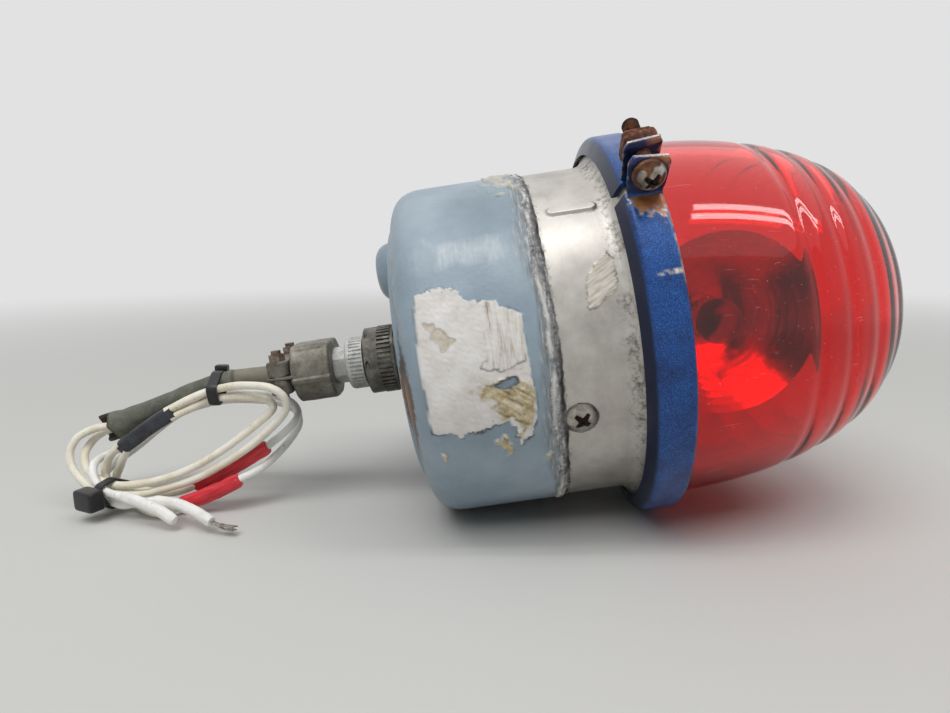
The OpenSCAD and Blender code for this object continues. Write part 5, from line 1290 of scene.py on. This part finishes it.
brownLaminate = plainPlastic("brownPaperLaminate", "#4a2c1a", "#6b4429", 0.55, 2.0)
blackGasket = plainPlastic("blackCorkRubber", "#1c1c1c", "#2e2e2d", 0.8, 1.2)
carbonBrush = plainPlastic("pressedCarbon", "#1e1e20", "#343437", 0.5, 0.8)
leadFinish = plainPlastic("rustRedLeadInsulation", "#8f4527", "#b5613a", 0.5, 1.5)
bulbGlass = clearBulb()
makeBell(whiteBell)
makeClamp(castClamp)
makeSaddles(castClamp)
dressed = {
    rustySteel: ["clamp_washer"], brownSteel: ["saddle_screws"],
    screwSteel: ["flange_screws", "motor_screws", "carriage_spindle", "spindle_clip", "noise_filter"],
    oliveNut: ["coupling_nut", "receptacle", "plug_shell"],
    greySheet: ["chassis_plate", "lamp_table", "lamp_post"],
    gearBrass: ["motor_pinion", "carriage_gear", "spindle_bush", "slip_rings", "receptacle_pins",
                "lamp_sockets"],
    mirrorSilver: ["reflector_a", "reflector_b"], motorCase: ["drive_motor"], bulbGlass: ["lamp_a", "lamp_b"],
    brownLaminate: ["slip_drum", "brush_block", "receptacle_insert", "plug_insert"],
    blackGasket: ["lens_gasket"], carbonBrush: ["brushes"]}
for finish, names in dressed.items():
    for name in names:
        cadNodes[name].data.materials.clear()
        cadNodes[name].data.materials.append(finish)

# inner leads, the same routes as in the part's source: lamp's own frame, in mm
leads = {"across": 2.0, "routes": [
    [(0, 4, 14.5), (0, 5, 17), (0, 10, 16), (0, 16, 14.5), (0, 19, 16.5), (0, 19.5, 26)],
    [(3.464, -2, 14.5), (4, -3, 17), (10, -4, 14), (17, -3, 8), (24, -1, 6), (29, 0, 9)],
    [(-3.464, -2, 14.5), (-4.5, -3, 17), (-8, -3.5, 18), (-11, -2.5, 18), (-14.5, -1.5, 18)]]}
leadSheets = []
for route in leads["routes"]:
    leadGrid, leadMap = carried(curveThrough(route, 6), roundSection(leads["across"] / 2, 10))
    leadSheets.append({"grid": laid(leadGrid), "map": leadMap})
makePiece("innerLeads", leadSheets, "housing", leadFinish, ["inner_leads"])
print("solids dressed")

# studio: pale floor that fades into pale surroundings, a broad soft ceiling, two pairs of tubes in front,
# and a soft front light that gloss doesn't show; metres and watts
studio = {"floor": "#cfcfcc", "floorAt": -0.0002, "reach": 8.0, "fade": (0.2, 1.2),
          "surround": 0.76, "fill": 0.1,
          "ceiling": {"place": (0.0, 0.5, 4.0), "aim": (0.0, 0.5, 0.0), "size": (9.0, 9.0), "power": 110.0},
          "front": {"place": (-0.45, -1.0, 1.5), "aim": (0.0, 0.0, 0.05), "size": (1.2, 0.9), "power": 12.0,
                    "inGloss": False},
          "tubes": [{"place": (x, y, 1.05), "aim": (x, 0.0, 0.05), "size": (0.8, 0.07), "power": 1.4}
                    for x in (-0.25, 0.68) for y in (-0.26, -0.38)]}


def addLight(name, light):
    # oblong lamp turned to its aim: its back points from the aim to its place, its long side is square to y
    data = bpy.data.lights.new(name, "AREA")
    data.shape = "RECTANGLE"
    data.size, data.size_y = light["size"]
    data.energy = light["power"]
    lamp = bpy.data.objects.new(name, data)
    lamp.visible_glossy = light.get("inGloss", True)
    scene.collection.objects.link(lamp)
    back = np.array(light["place"]) - np.array(light["aim"])
    back /= np.linalg.norm(back)
    right = np.cross([0.0, 1.0, 0.0], back)
    right /= np.linalg.norm(right)
    turned = np.eye(4)
    turned[:3] = np.stack([right, np.cross(back, right), back, light["place"]], -1)
    lamp.matrix_world = Matrix(turned.tolist())


def seenRay(owner):
    # one for rays of the eye, of gloss and through glass, nought for light that bounces
    ray = addNode(owner, "LightPath").node.outputs
    seen = addNode(owner, "Math", {0: ray["Is Camera Ray"], 1: ray["Is Glossy Ray"]}, operation="MAXIMUM")
    return addNode(owner, "Math", {0: seen, 1: ray["Is Transmission Ray"]}, operation="MAXIMUM")


def makeFloor():
    # plain matt floor, one flat sheet; away from the lamp it fades, to the eye alone, into the surroundings
    side = studio["reach"]
    mesh = bpy.data.meshes.new("floor")
    corners = [(x * side, y * side, studio["floorAt"]) for x, y in ((-1, -1), (1, -1), (1, 1), (-1, 1))]
    mesh.from_pydata(corners, [], [(0, 1, 2, 3)])
    mat = newFinish("paleMattFloor", base=studio["floor"], roughness=0.85, specular=0.2)[0]
    place = addNode(mat, "TexCoord", out="Object")
    away = addNode(mat, "VectorMath", {0: place}, operation="LENGTH", out="Value")
    near, far = studio["fade"]
    fade = addNode(mat, "MapRange", {"Value": away, "From Min": near, "From Max": far},
                   interpolation_type="SMOOTHSTEP")
    faded = addNode(mat, "Math", {0: fade, 1: seenRay(mat)}, operation="MULTIPLY")
    pale = addNode(mat, "Emission", {"Strength": studio["surround"]})
    shader = mat.node_tree.nodes["Principled BSDF"].outputs["BSDF"]
    mixed = addNode(mat, "MixShader", {0: faded, 1: shader, 2: pale})
    mat.node_tree.links.new(mixed, mat.node_tree.nodes["Material Output"].inputs["Surface"])
    mesh.materials.append(mat)
    floor = bpy.data.objects.new("floor", mesh)
    scene.collection.objects.link(floor)


def paleSurround():
    # the world is pale to the eye, to gloss and through glass, and a softer fill to everything else
    world = bpy.data.worlds.new("paleSurround")
    scene.world = world
    world.use_nodes = True
    sky = world.node_tree.nodes["Background"]
    level = addNode(world, "MapRange", {"Value": seenRay(world), "To Min": studio["fill"],
                                        "To Max": studio["surround"]})
    world.node_tree.links.new(level, sky.inputs["Strength"])
    sky.inputs["Color"].default_value = (1.0, 1.0, 1.0, 1.0)


for number, tube in enumerate(studio["tubes"]):
    addLight("tube" + str(number), tube)
for name in ("ceiling", "front"):
    addLight(name, studio[name])
makeFloor()
paleSurround()
print("studio ready")
